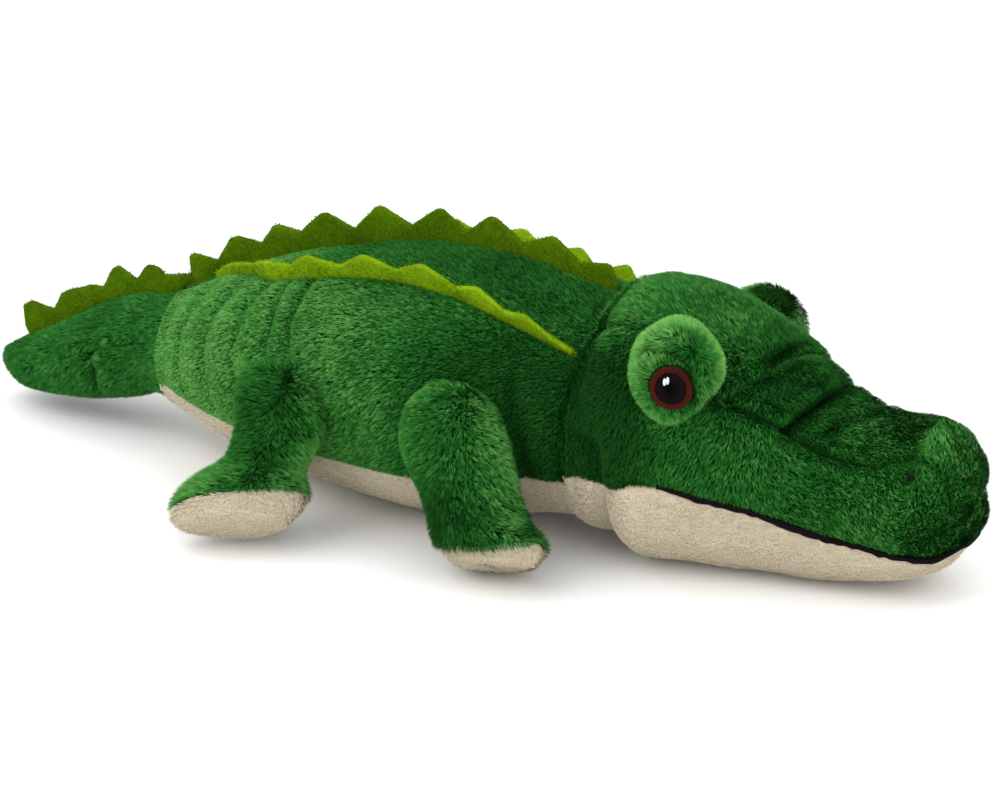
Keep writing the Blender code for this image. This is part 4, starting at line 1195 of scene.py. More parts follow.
class Head:
    """The head's panels, mouth strip, nostrils, eye mounds and eyes."""

    LENGTH = 143.0
    WIDTH = 52.0
    HEIGHT = 49.0
    REAR_X = 71.8
    STEP = 0.006
    SEED = 80
    JAW_START = -0.012
    # Changes of the pile's tone: painted light on the top; painted shade behind the mounds, in
    # the snout's folds and in the dents round the nostrils.
    BASE_TONE, TOP_LIGHT, REAR_DARK, FOLDS_DARK, DENT_DARK = -0.02, 0.06, 0.54, 0.24, 0.45
    DENT_WIDTH = 3.2
    STRIP_ENDS = (0.235, 0.984)
    STRIP_EDGES = (-1.75, 1.4)
    STRIP_SWELL = 0.7
    STRIP_DEPTH = 1.2
    STRIP_COLUMNS = 5
    DENT_SHARE = 0.852
    NOSTRIL_SHARE = 0.854
    NOSTRIL_ANGLE = 30.0
    NOSTRIL_SIZE = (2.0, 1.3, 0.8)

    def __init__(self, kit: Kit) -> None:
        self.kit = kit
        self.form = Form(
            Profile(HEAD_ROWS), start=self.REAR_X, length=self.LENGTH,
            sizes=(self.HEIGHT, self.WIDTH, self.HEIGHT), cap_start=0.965, fullness=0.8,
            ends=(BallEnd(NECK_CENTRE, NECK_RADIUS + 0.8, 0.0, 0.08, -0.06, 0.25),),
            folds=(
                Fold(((52, .535), (95, .50), (124, .455), (148, .380)), 3.2, 1.6, 0.8),
                Fold(((52, .600), (89, .602), (118, .577), (147, .528)), 4.8, 1.5, 0.9),
                Fold(((60, .700), (95, .697), (123, .632), (134, .612)), 3.2, 1.6, 0.5),
                Fold(((80, .80), (92, .905), (110, .96), (128, .978)), 1.4, 2.0, 0.5),
                Fold(((10, .035), (90, .030), (168, .035)), 2.6, 2.6, 1.2),
                Fold(((176, .0), (200, .0), (270, .0), (340, .0), (364, .0)), 2.6, 5.0, 0.4),
                Fold(((178, .06), (205, .08), (270, .085), (335, .08), (362, .06)), 4.8, 3.6,
                     0.6),
                Fold(((196, .165), (230, .16), (310, .16), (344, .165)), -3.2, 12.0),
                Fold(((150, .37), (158, .385), (166, .40)), -2.4, 6.0),
                Fold(((14, .40), (22, .385), (30, .37)), -2.4, 6.0),
                Fold(((.33, 147), (.45, 146), (.62, 144), (.74, 142)), 1.6, 1.5, 1.2,
                     Run.LENGTHWISE, fade=8.0),
                Fold(((.33, 33), (.45, 34), (.62, 36), (.74, 38)), 1.6, 1.5, 1.2,
                     Run.LENGTHWISE, fade=8.0),
            ), place=head_place())

    def crown(self, share: Array) -> Array:
        """Return the angle of the crown's seam on the left; the right one mirrors it."""
        _, _, half_width, _ = self.form.rings(share)
        reach = column(CROWN_SEAM, share) * self.WIDTH
        return np.arccos(np.clip(reach / np.maximum(half_width, 0.1), 0.0, 1.0))

    def mouth(self, share: Array, offset: float = 0.0) -> Array:
        """Return the angle of the mouth's seam on the left, moved up by some millimetres."""
        _, height, _, half_height = self.form.rings(share)
        seam = column(MOUTH_SEAM, share) + offset
        return np.arcsin(np.clip((seam - height) / np.maximum(half_height, 0.1), -1.0, 0.0))

    def mouth_from_below(self, share: Array) -> Array:
        """Return the angle of the mouth's seam on the left, counted round under the jaw."""
        return 2 * math.pi + self.mouth(share)

    def patches(self) -> dict[str, Patch]:
        """Return the head's four panels."""
        shares = to_cap(-0.06, self.STEP)
        jaw = [s for s in shares if s > self.JAW_START]
        crown, mouth = mirrored(self.crown), mirrored(self.mouth)
        return {
            "head_top_panel": Patch(self.form, shares, self.crown, crown, 50, 1.2),
            "cheek_panel_left": Patch(self.form, shares, self.mouth, self.crown, 44,
                                      seam_trim=0.45),
            "cheek_panel_right": Patch(self.form, shares, crown, mouth, 44, seam_trim=0.45),
            "jaw_panel": Patch(self.form, jaw, mouth, self.mouth_from_below, 50, 0.8,
                               seam_trim=0.5),
        }

    def shade(self, spot: Spot) -> Array:
        """Paint shade on the head behind the mounds, on the snout's folds and round the
        nostrils, and light on its top.
        """
        rise = np.sin(spot.angle)
        side = 1.0 - ease((rise - 0.45) / 0.35)
        pads = ease((rise - 0.35) / 0.3) * bell(spot.share - 0.53, 0.12, 4.0)
        nearest = Side.LEFT if spot.point[:, 1].mean() > 0.0 else Side.RIGHT
        across = (np.degrees(spot.angle) - self.nostril_degrees(nearest)) * 0.5
        along = (spot.share - self.DENT_SHARE) * self.LENGTH
        dent = bell(np.hypot(along, across), self.DENT_WIDTH)
        top = ease((rise - 0.6) / 0.2) * ease((0.42 - spot.share) / 0.1)
        rear = ease((0.28 - spot.share) / 0.2)
        return (self.BASE_TONE + self.TOP_LIGHT * top - self.REAR_DARK * side * rear
                - self.FOLDS_DARK * pads - self.DENT_DARK * dent)

    def comb(self, spot: Spot) -> Array:
        """Comb the cheeks down, the snout's sides forward and the nose up."""
        snout = ease((spot.share - 0.38) / 0.25)[..., None]
        nose = ease((spot.share - 0.80) / 0.10)[..., None]
        down, fore, up = (np.zeros_like(spot.point) for _ in range(3))
        down[..., 2], down[..., 0] = -1.0, -0.45
        fore[..., 2], fore[..., 0] = -0.45, 1.0
        up[..., 2], up[..., 0] = 1.0, -0.3
        blended = (down * (1 - snout) + fore * snout) * (1 - nose) + up * nose
        top = ease((np.sin(spot.angle) - 0.75) / 0.2)[..., None] * (1 - snout)
        return blended * (1 - top) - top * np.array([1.0, 0.0, 0.0])

    def scale(self, spot: Spot) -> Array:
        """Shorten the pile on top of the snout."""
        return 1.0 - 0.15 * ease((spot.share - 0.4) / 0.2)

    def build(self) -> None:
        """Make everything that the head carries."""
        green = Coat(replace(BODY_PILE, lean=48.0, length=2.5), self.comb, self.shade,
                     self.scale)
        cream = Coat(CREAM_PILE, comb_back,
                     scale=lambda spot: 1.0 + 0.7 * ease((0.2 - spot.share) / 0.15))
        self.kit.cover_all(self.patches(), green, cream, "head",
                           {"jaw_panel": "head_stuffing"}, self.SEED)
        self.build_mouth()
        for side in Side:
            self.build_nostril(side)
            Eye(self.kit, side).build()

    def build_mouth(self) -> None:
        """Make the black strip that is sewn into the mouth's seam on both sides."""
        line = np.array(spread(*self.STRIP_ENDS, self.STEP))
        share = np.repeat(line[:, None], self.STRIP_COLUMNS, axis=1)
        rows = []
        for side in Side:
            place = np.stack([line * self.LENGTH * MM, 0 * line, 0 * line + side.value], -1)
            ragged = 0.7 * noise(place, 2.4 * MM, 9)
            grown = ((0.3 + 0.7 * ease((line - self.STRIP_ENDS[0]) / 0.08))
                     * (1.0 - 0.35 * ease((line - 0.55) / 0.3)))
            offsets = np.linspace(*self.STRIP_EDGES, self.STRIP_COLUMNS)
            angle = np.stack([self.mouth(line, o * grown + ragged * (o < 0))
                              for o in offsets], axis=1)
            angle = angle if side is Side.LEFT else math.pi - angle[:, ::-1]
            spot = read_spots(self.form, share, angle)
            across = np.linspace(-1.0, 1.0, self.STRIP_COLUMNS)
            swell = self.STRIP_SWELL * (1.0 - across**2)[None, :]
            taper = ease((share - 0.225) / 0.05)
            lift = (swell * taper)[..., None] * MM - (1.0 - taper)[..., None] * MM
            outer = spot.point + spot.normal * (lift + 0.5 * MM)
            rows.append((outer, spot.point - spot.normal * self.STRIP_DEPTH * MM))
        outer = np.concatenate([rows[0][0], rows[1][0][::-1, ::-1]])
        inner = np.concatenate([rows[0][1], rows[1][1][::-1, ::-1]])
        item = plate("mouth_seam_strip", outer, inner, self.kit.finish["black"])
        self.kit.dress(item, "head", "black_thread", ["mouth_strip"])

    def nostril_degrees(self, side: Side) -> float:
        """Return the angle of a nostril round the snout."""
        return self.NOSTRIL_ANGLE if side is Side.LEFT else 180.0 - self.NOSTRIL_ANGLE

    def build_nostril(self, side: Side) -> None:
        """Make one short dark stitch in the snout."""
        angle = math.radians(self.nostril_degrees(side))
        spot = read_spots(self.form, np.array([self.NOSTRIL_SHARE]), np.array([angle]))
        bpy.ops.object.select_all(action="DESELECT")
        bpy.ops.mesh.primitive_uv_sphere_add(segments=20, ring_count=12, radius=1.0)
        item = bpy.context.object
        item.name = item.data.name = "nostril_pull_" + side.label
        basis = Matrix([list(spot.along[0]), list(spot.around[0]),
                        list(spot.normal[0])]).transposed().to_4x4()
        grow_by = Matrix.Diagonal((*(size * MM for size in self.NOSTRIL_SIZE), 1.0))
        centre = Vector(spot.point[0] + spot.normal[0] * self.NOSTRIL_SIZE[2] * MM)
        item.data.transform(Matrix.Translation(centre) @ basis @ grow_by)
        item.data.polygons.foreach_set("use_smooth", [True] * len(item.data.polygons))
        item.data.materials.append(self.kit.finish["black"])
        self.kit.dress(item, "head", "black_thread", ["nostril_stitch_" + side.label])


MOUND_OPEN = 150.0
LID_GROOVE = ((-180.0, 66.0), (-60.0, 40.0), (-20.0, 31.0), (10.0, 31.0), (30.0, 34.0),
              (60.0, 40.0), (90.0, 45.0), (115.0, 53.0), (140.0, 66.0), (180.0, 66.0))


def lid_hold(turn: Array) -> Array:
    """Return 1 where the lid fold runs over the eye, easing to 0 below it."""
    return ease((turn + 70.0) / 40.0) * ease((170.0 - turn) / 40.0)


@dataclass(frozen=True)
class Mound(Surface):
    """The surface of one eye mound: a ball with a lid fold round the eye.

    The capitals say how far the lid's groove, a cut in front, and the swellings over the lid
    and under the eye move it, in millimetres.
    """

    GROOVE, CUT = -4.6, -4.0
    BROW, LOWER_LOBE = 1.6, 1.4

    centre: Array
    axes: Array
    crest: float
    radius: float = 15.5

    def point(self, share: Array, angle: Array) -> Array:
        """Return places; share runs from the eye's middle over the ball, angle round it."""
        polar = np.clip(share, 0.0005, 1.0) * math.radians(MOUND_OPEN)
        local = np.stack([np.sin(polar) * np.cos(angle), np.sin(polar) * np.sin(angle),
                          np.cos(polar)], axis=-1)
        turn, open_degrees = wrapped(angle), np.degrees(polar)
        away = open_degrees - column(LID_GROOVE, turn)
        held = lid_hold(turn)
        groove = self.GROOVE * bell(away, 6.0) * held
        brow = self.BROW * bell(away - 20.0, 14.0) * held
        sides = ease((open_degrees - 35) / 30)
        cut = self.CUT * bell(turn + 40.0, 32.0) * sides
        low = self.LOWER_LOBE * bell(turn + 100.0, 26.0) * sides
        crest = self.crest * bell(turn - 92.0, 36.0) * ease((open_degrees - 40) / 30)
        reach = self.radius + groove + brow + cut + low + crest
        return self.centre + (local * reach[..., None] * MM) @ self.axes

    def middle(self, share: Array) -> Array:
        """Return the ball's centre for every share."""
        return np.broadcast_to(self.centre, (*np.shape(share), 3))


class Eye:
    """One padded eye mound with its embroidered eye.

    Its place is given in millimetres ahead of the head's rear, then in the head's half widths
    and heights. It looks along AIM, and the brow's pile parts at PART, in the eye's own axes.
    """

    PLACE = (36.975, 0.83, 1.575)
    CANT = math.radians(-5.0)
    AIM = (0.22, 0.97, -0.05)
    PART = (7.0, 12.5, 10.0)
    FURRED = (0.205, 0.86)
    IRIS = (5.2, 7.2)
    PUPIL = 5.5
    GLINT = 0.5
    GLINT_PLACES = ((-1.9, 2.6), (-0.9, 3.1))
    STITCH_DEPTH = 0.9
    RIB = 0.16
    RINGS = 10
    STEP = 0.02
    COLUMNS = 72
    SEED = 120
    FILL = 0.9
    CREST = 3.4
    # Changes of the pile's tone: painted shade in the lid fold, where the brow parts and low on
    # the mound; painted light on the mound's back and rim.
    LID_DARK, PART_DARK, LOW_DARK, BACK_LIGHT, RIM_LIGHT = -0.5, -0.40, 0.12, 0.14, 0.32

    def __init__(self, kit: Kit, side: Side) -> None:
        """Place the mound and aim the eye."""
        self.kit, self.side = kit, side
        ahead, out, rise = self.PLACE
        upright = Vector((0.0, side.value * out * Head.WIDTH,
                          rise * Head.HEIGHT - NECK_CENTRE[2]))
        leaned = Matrix.Rotation(self.CANT, 4, "X") @ upright
        straight = Vector((Head.REAR_X + ahead, leaned.y, NECK_CENTRE[2] + leaned.z)) * MM
        self.centre = np.array(head_place() @ straight)
        turn = np.array(head_place().to_3x3())
        aim = unit(turn @ (np.array(self.AIM) * [1, side.value, 1]))
        up = unit(np.array([0.0, 0.0, 1.0]) - aim * aim[2])
        right = np.cross(up, aim)
        forward = right if right[0] > 0 else -right
        self.axes = np.stack([forward, up, aim])
        crest = self.CREST if side is Side.RIGHT else 0.0
        self.surface = Mound(self.centre, self.axes, crest)
        self.part = self.centre + (np.array(self.PART) * MM) @ self.axes

    def disc(self, name: str, start: float, end: float, lift: float, dome: float,
             finish: str, node: str, slot: str, offset: tuple[float, float] = (0.0, 0.0),
             stretch: float = 1.0, threads: int = 60) -> None:
        """Make a round or ring-shaped piece of embroidery on the mound.

        Args:
            name: the piece's name.
            start: inner radius in millimetres.
            end: outer radius in millimetres.
            lift: height over the mound's ball in millimetres.
            dome: how much the piece swells, in millimetres.
            finish: name of the finish.
            node: the part's node that it stands for.
            slot: the record's slot.
            offset: place of its middle from the eye's, forward and up.
            stretch: height as a share of the width.
            threads: thread ribs round the piece.
        """
        count = 6 * threads if end > 3.0 else 4 * threads
        turn = np.linspace(0.0, 2 * math.pi, count + 1)[None, :]
        t = np.linspace(0.0, 1.0, self.RINGS)[:, None]
        spoke = start + (end - start) * t
        edge = np.abs(2 * t - 1) if start > 0.0 else t
        swell = dome * np.sqrt(np.maximum(1.0 - edge**2.2, 0.0))
        ribs = self.RIB * np.sin(threads * turn + 3.0 * t) * (1.0 - edge**6)
        x = spoke * np.cos(turn) + offset[0]
        y = spoke * np.sin(turn) * stretch + offset[1]
        z = np.sqrt(np.maximum(self.surface.radius**2 - x**2 - y**2, 0.0))
        ball = np.stack([x, y, z], axis=-1)
        out = unit(ball)
        outer = ball + out * (lift + swell + ribs)[..., None]
        inner = ball + out * (lift - self.STITCH_DEPTH)
        world = [self.centre + (layer * MM) @ self.axes for layer in (outer, inner)]
        item = plate(name, world[0], world[1], self.kit.finish[finish], merge=0.01)
        self.kit.dress(item, "head", slot, [node])

    def brow(self, spot: Spot) -> Array:
        """Return 1 on the lobe over the lid fold and 0 on the one that holds the eye."""
        turn = wrapped(spot.angle)
        over = ease((spot.share * MOUND_OPEN - column(LID_GROOVE, turn)) / 4.0 + 0.5)
        return over * ease((turn + 60.0) / 30.0) * ease((165.0 - turn) / 30.0)

    def comb(self, spot: Spot) -> Array:
        """Comb the brow away from where it parts, and the rest away from the eye."""
        brow = self.brow(spot)[..., None]
        parted = unit(spot.point - self.part) + 0.5 * drift(spot.point, 5.0 * MM, 75)
        return parted * brow + spot.along * (1.0 - brow)

    def shade(self, spot: Spot) -> Array:
        """Paint shade into the lid fold, where the brow parts and low on the mound, and light on
        its back and rim.
        """
        apart = np.linalg.norm(spot.point - self.part, axis=-1) / MM
        turn = wrapped(spot.angle)
        away = spot.share * MOUND_OPEN - column(LID_GROOVE, turn)
        lid = self.LID_DARK * bell(away - 2.0, 4.5) * lid_hold(turn)
        dark = self.PART_DARK * bell(apart, 8.5) * self.brow(spot)
        low = self.LOW_DARK * ease((-20.0 - turn) / 40.0) * (1.0 - self.brow(spot))
        back = self.BACK_LIGHT * ease((spot.share - 0.45) / 0.15)
        rim = self.RIM_LIGHT * ease((spot.share - 0.22) / 0.2)
        return dark + lid - low + back + rim

    def scale(self, spot: Spot) -> Array:
        """Shorten the pile round the embroidery."""
        return 0.5 + 0.5 * ease((spot.share - 0.20) / 0.10)

    def build(self) -> None:
        """Make the mound, its pile and the embroidered eye."""
        label = self.side.label
        patch = round_patch(self.surface, 0.0, 1.0, self.STEP, self.COLUMNS)
        furred = round_patch(self.surface, *self.FURRED, self.STEP, self.COLUMNS)
        pile = Pile(per_mm2=7.4, length=3.1, width=0.32, lean=44.0, tuft=1.6, gather=0.45,
                    wander=16.0, tone=0.46, spread=0.34)
        coat = Coat(pile, self.comb, self.shade, self.scale)
        name = "eye_mound_" + label
        self.kit.cover(name, patch, coat, GREEN, "head", [name], self.SEED, self.FILL,
                       furred)
        self.disc("iris_stitching_" + label, *self.IRIS, 1.1, 0.9, "brown", "iris_" + label,
                  "brown_thread", stretch=1.06, threads=52)
        self.disc("pupil_stitching_" + label, 0.0, self.PUPIL, 1.0, 0.7, "black",
                  "pupil_" + label, "black_thread", stretch=1.06, threads=40)
        for k, place in enumerate(self.GLINT_PLACES):
            self.disc(f"glint_stitching_{label}_{k + 1}", 0.0, self.GLINT, 1.85, 0.35,
                      "white", "eye_glint_" + label, "white_thread", offset=place,
                      stretch=2.4, threads=8)


@dataclass(frozen=True)
class Limb:
    """The sizes of one pair of legs, close to the part's own, and how its pile is toned.

    Lengths are in millimetres, and places on the leg in thigh radii from the seat's mouth.
    """

    name: str
    thigh: float
    seat_radius: float
    mouth: tuple[float, float, float]
    rings: tuple[tuple[float, ...], ...]
    crown: tuple[float, float, float]
    sole: tuple[float, float, float]
    sole_size: tuple[float, float]
    tilt: float
    toe_turn: float
    toe_lift: float
    part: tuple[float, float, float]
    tone: float
    foot_tone: float
    heel_rise: float
    end_rise: float
    limit: tuple[tuple[float, float], ...] = ((1.0, 0.0), (1.55, 0.0), (2.1, -6.6),
                                              (4.0, -14.3))


FRONT = Limb(
    "front", 21.0, 19.5, (33.847, 58.3, 50.008),
    ((-.12, .02, .93, .50, .42, 0.), (-.07, .08, .62, .84, .64, 0.),
     (0., .14, .18, 1.0, .74, 0.), (.14, .18, -.25, 1.05, .76, .15),
     (.38, .26, -.75, .95, .78, .4), (.62, .36, -1.22, .93, .82, .7),
     (.88, .44, -1.56, 1.07, .84, .95)),
    (-.14, -.04, 1.17), (.96, .48, -1.88), (44.0, 35.0), 33.0, 0.0, 12.0, (.25, .8, .75),
    0.04, -0.15, 0.0, 0.09)
HIND = Limb(
    "hind", 18.5, 17.0, (-40.261, 59.9, 47.987),
    ((-.25, .0, .92, .52, .42, 0.), (-.14, .08, .58, .86, .66, 0.),
     (-.02, .14, .12, 1.0, .78, 0.), (-.02, .32, -.40, .92, .86, .15),
     (-.10, .72, -.95, .84, .84, .45), (-.25, 1.20, -1.42, 1.30, .92, .8)),
    (-.27, -.04, 1.12), (-.36, 1.66, -1.87), (56.0, 36.0), 46.0, 151.0, 0.0,
    (.3, .9, 1.1), -0.04, 0.14, 0.13, 0.0)


class LegSurface(Surface):
    """A leg's surface from the top of the thigh, at share -1, to its sole's rim, at 1.

    Beyond 1 it turns under the foot, and at 2 it reaches the sole's middle. The cover ends at
    BORDER. Lengths are in millimetres.
    """

    BORDER = 0.95
    BORDER_WIDTH = 0.28
    HEEL_START = 0.68
    HEEL_DRAW = 0.24
    SOLE_BULGE = 2.6
    PILE_ROOM = 1.6
    LAST = 0.9995

    def __init__(self, limb: Limb, side: Side) -> None:
        """Work out the leg's rings in millimetres.

        Args:
            limb: the pair's sizes.
            side: which of the pair.
        """
        self.limb, self.side = limb, side
        rows = []
        last = len(limb.rings)
        for k, ring in enumerate(limb.rings):
            centre = self.put(ring[:3])
            rows.append((k / last, *centre, ring[3] * limb.thigh, ring[4] * limb.thigh,
                         ring[5]))
        self.sole_normal = self.down(1.0)
        sole = self.put(limb.sole)
        rows.append((1.0, *sole, limb.sole_size[0] / 2, limb.sole_size[1] / 2, 1.0))
        self.profile = Profile(tuple(rows))
        self.crown = self.put(limb.crown)

    def put(self, shares: Sequence[float]) -> Array:
        """Return a place given in thigh radii from the seat's mouth, in millimetres."""
        mirror = np.array([1.0, self.side.value, 1.0])
        return (np.array(self.limb.mouth) + np.array(shares) * self.limb.thigh) * mirror

    def axes(self, lean: Array) -> tuple[Array, Array]:
        """Return a ring's two directions, from level to the sole's plane."""
        goal = math.radians(self.limb.toe_turn)
        side = self.side.value
        turn = math.pi * round(goal / math.pi) * (1 - lean) + goal * lean
        tilt = math.radians(self.limb.tilt) * lean
        lift = math.radians(self.limb.toe_lift) * lean
        zero = np.zeros_like(turn)
        out = np.stack([np.abs(np.sin(turn)), side * np.abs(np.cos(turn)), zero], axis=-1)
        across = out * np.cos(tilt)[..., None]
        across[..., 2] = np.sin(tilt)
        along = np.stack([np.cos(turn) * np.cos(lift),
                          side * np.abs(np.sin(turn)) * np.cos(lift), np.sin(lift)], axis=-1)
        across = unit(across - along * (across * along).sum(-1, keepdims=True))
        return along, across

    def down(self, lean: float) -> Array:
        """Return the direction out of the sole."""
        along, across = self.axes(np.array([lean]))
        normal = np.cross(along, across)[0]
        return normal * -math.copysign(1.0, normal[2])

    def middle(self, share: Array) -> Array:
        """Return the ring's middle at a share, in metres."""
        table = self.profile.read(np.clip(share, 0.0, 1.0))
        over = np.clip(-share, 0.0, 1.0)[..., None]
        centre = table[..., :3] * (1 - over) + (self.crown - [0, 0, 3.0]) * over
        under = np.clip(share - 1.0, 0.0, 1.0)[..., None]
        return (centre - self.sole_normal * 6.0 * under) * MM

    def point(self, share: Array, angle: Array) -> Array:
        """Return the leg's surface in metres, with the sole's border risen at its ends."""
        rise = (self.limb.heel_rise * (1.0 - np.cos(angle)) / 2
                + self.limb.end_rise * np.cos(angle)**2)
        share = share - rise * bell(share - self.BORDER, self.BORDER_WIDTH)
        table = self.profile.read(np.clip(share, 0.0, 1.0))
        centre, half_along, half_across = table[..., :3], table[..., 3], table[..., 4]
        lean = table[..., 5]
        over = np.clip(-share, 0.0, self.LAST)
        dome = np.sqrt(1.0 - over**2)
        centre = centre + (self.crown - centre) * over[..., None]
        under = np.clip(share - 1.0, 0.0, self.LAST)
        heel = np.clip((share - self.HEEL_START) / 0.32, 0.0, 1.0)
        close = np.cos(under * RIGHT_ANGLE) * (1.0 - self.HEEL_DRAW * heel**2.2)
        bulge = self.SOLE_BULGE * np.sin(np.minimum(under * 1.6, 1.0) * RIGHT_ANGLE)
        centre = centre + self.sole_normal * bulge[..., None]
        along, across = self.axes(lean)
        reach = dome * close
        trim = self.PILE_ROOM * (1.0 - ease((share - 0.7) / 0.3))
        centre = centre - np.array([0.0, 0.0, 1.0]) * (over * self.PILE_ROOM)[..., None]
        place = (centre + along * ((half_along - trim) * reach * np.cos(angle))[..., None]
                 + across * ((half_across - trim) * reach * np.sin(angle))[..., None])
        soft = 0.5 * noise(place * MM, 14.0 * MM, 31)
        place = place + unit(place - table[..., :3]) * soft[..., None]
        spoke = np.hypot(place[..., 0] - self.limb.mouth[0], place[..., 2] - self.limb.mouth[2])
        limit = self.limb.mouth[1] + 0.6 + column(self.limb.limit, spoke / self.limb.thigh)
        limit = np.where(spoke < self.limb.seat_radius, self.limb.mouth[1] - 10.0, limit)
        y = place[..., 1] * self.side.value
        place[..., 1] = np.maximum(y, limit) * self.side.value
        return above(place * MM, SURFACE_FLOOR)


class Leg:
    """One leg: a green cover and a cream sole, both with pile."""

    STEP = 0.03
    COLUMNS = 64
    COVER_SEED, SOLE_SEED = 150, 160
    # Painted shade in the middle of the leg and painted light on its rims; the patches on the
    # foot are random tone.
    MIDDLE_DARK, RIM_LIGHT, PATCHES = 0.22, 0.26, 0.18

    def __init__(self, kit: Kit, limb: Limb, side: Side) -> None:
        self.kit, self.limb, self.side = kit, limb, side
        self.surface = LegSurface(limb, side)

    def comb(self, spot: Spot) -> Array:
        """Part the pile along a line down the leg, and comb it up over the crown."""
        apart = spot.point / MM - self.surface.put(self.limb.part)
        comb = 0.45 * drift(spot.point, 14.0 * MM, 71)
        comb[..., 0] += 0.9 * np.tanh((apart[..., 0] - 0.12 * apart[..., 2]) / 7.0)
        comb[..., 2] += -0.9 + 1.5 * ease(apart[..., 2] / 14.0 + 0.1)
        return comb

    def shade(self, spot: Spot) -> Array:
        """Paint shade into the middle of the leg, darken its foot in patches, and paint light on
        its rims.
        """
        limb = self.limb
        apart = (spot.point / MM - self.surface.put(limb.part)) / limb.thigh
        inner = bell(apart[..., 0] + 0.35, 0.75)
        rim = 1.0 - np.abs(spot.normal[..., 1])
        foot = ease((spot.share - 0.35) / 0.4)
        patches = self.PATCHES * noise(spot.point, 9.0 * MM, 91) * foot
        return (limb.tone - self.MIDDLE_DARK * inner + self.RIM_LIGHT * rim
                + limb.foot_tone * foot + patches)

    def scale(self, spot: Spot) -> Array:
        """Leave the pile longer on the foot."""
        return 1.0 + 0.40 * ease((spot.share - 0.45) / 0.4)

    def build(self) -> None:
        """Make the cover, the sole and their pile."""
        label = f"{self.limb.name}_{self.side.label}"
        body = "leg_" + label
        border = LegSurface.BORDER
        cover = round_patch(self.surface, -1.0, border, self.STEP, self.COLUMNS)
        sole = round_patch(self.surface, border, 2.0, self.STEP, self.COLUMNS)
        coat = Coat(LEG_PILE, self.comb, self.shade, self.scale)
        self.kit.cover(body, cover, coat, GREEN, body,
                       ["leg_cover_" + label, "leg_stuffing_" + label],
                       self.COVER_SEED + self.side.value)
        fringe = Coat(CREAM_PILE, self.comb,
                      scale=lambda s: 1.0 + 1.1 * ease((1.12 - s.share) / 0.15))
        self.kit.cover("sole_" + label, sole, fringe, CREAM, body, ["leg_sole_" + label],
                       self.SOLE_SEED + self.side.value)


@dataclass(frozen=True)
class RidgeRow:
    """One toothed felt strip along a form, drawn as (share, height in millimetres)."""

    name: str
    outline: tuple[tuple[float, float], ...]
    length: float
    body: str
    # pale: take the felt copy with painted light.
    pale: bool = False


class Ridge:
    """A felt strip cut into teeth, standing in a seam. Lengths are in millimetres."""

    FELT = 3.0
    ROOT = 2.2
    STEP = 0.7
    STEPS_UP = 9
    SEED = 200
    FUZZ_PER_MM2 = 3.0
    FUZZ_HALF_WIDTH = 0.12

    def __init__(self, kit: Kit, row: RidgeRow, form: Form, angle: Limit,
                 seed: int) -> None:
        """Keep the row and the seam it stands in, on the form without its folds."""
        self.kit, self.row, self.angle, self.seed = kit, row, angle, seed
        self.form = replace(form, folds=(), ends=(), inset=1.0)

    def build(self) -> None:
        """Make the strip and its fuzz."""
        table = self.row.outline
        share = np.array(spread(table[0][0], table[-1][0], self.STEP / self.row.length))
        height = column(table, share)
        spot = read_spots(self.form, share, self.angle(share))
        side = unit(np.cross(spot.normal, spot.along))
        steps = np.linspace(0.0, 1.0, self.STEPS_UP)
        loop = [(t, 1) for t in steps] + [(t, -1) for t in steps[::-1]]
        grid = np.zeros((len(share), len(loop), 3))
        for k, (t, way) in enumerate(loop):
            thick = self.FELT / 2 * (1.0 - 0.32 * t) * math.sqrt(max(1.0 - (t**7) * 0.55, 0.0))
            up = -self.ROOT + (height + self.ROOT) * t
            wave = 1.3 * noise(spot.point, 15.0 * MM, self.seed) * t
            wave = wave + 0.5 * noise(spot.point, 6.0 * MM, self.seed + 1) * t * t
            place = spot.point + spot.normal * (up * MM)[:, None]
            grid[:, k] = place + side * ((way * thick + wave) * MM)[:, None]
        rows, columns = grid.shape[:2]
        faces = grid_faces(rows, columns)
        faces += [(low + columns - 1, low, low + columns, low + 2 * columns - 1)
                  for low in range(0, (rows - 1) * columns, columns)]
        faces += [range(columns), range((rows - 1) * columns, rows * columns)]
        # Side ridges take the felt with painted light.
        item = mesh_object("felt_" + self.row.name, grid, faces,
                           self.kit.finish["pale_felt" if self.row.pale else "felt"], 0.005)
        self.kit.dress(item, self.row.body, "olive_felt", [self.row.name])
        self.fuzz(grid)

    def fuzz(self, grid: Array) -> None:
        """Stand short felt fibres on the strip."""
        rng = self.kit.rng
        corner = grid[:-1, :-1]
        area = float(np.linalg.norm(np.cross(grid[1:, :-1] - corner, grid[:-1, 1:] - corner),
                                    axis=-1).sum())
        count = int(area / MM**2 * self.FUZZ_PER_MM2 * self.kit.thin)
        r = rng.integers(0, grid.shape[0] - 1, count)
        c = rng.integers(0, grid.shape[1] - 1, count)
        u, v = rng.random(count)[:, None], rng.random(count)[:, None]
        root = bilinear(grid, r, c, u, v)
        normal = unit(np.cross(grid[r + 1, c] - grid[r, c], grid[r, c + 1] - grid[r, c]))
        middle = grid.mean(axis=1)[r]
        facing = np.sign(((root - middle) * normal).sum(-1, keepdims=True))
        normal = normal * facing
        aim = unit(normal * 0.55 + rng.normal(0.0, 0.6, (count, 3)))
        size = (0.6 + 1.0 * rng.random(count))[:, None] * MM
        side = unit(np.cross(aim, normal + rng.normal(0.0, 0.3, (count, 3))))
        side = side * self.FUZZ_HALF_WIDTH * MM
        tone = 0.45 + 0.4 * noise(root, 4.0 * MM, 77) + rng.normal(0.0, 0.15, count)
        strands = Strands(root, root + aim * size * 0.5, root + aim * size, side, normal, tone)
        # Side ridges take the fuzz with painted light.
        item = strands.make("fuzz_" + self.row.name,
                            self.kit.finish["pale_fuzz" if self.row.pale else "fuzz"])
        self.kit.dress(item, self.row.body, "olive_felt")


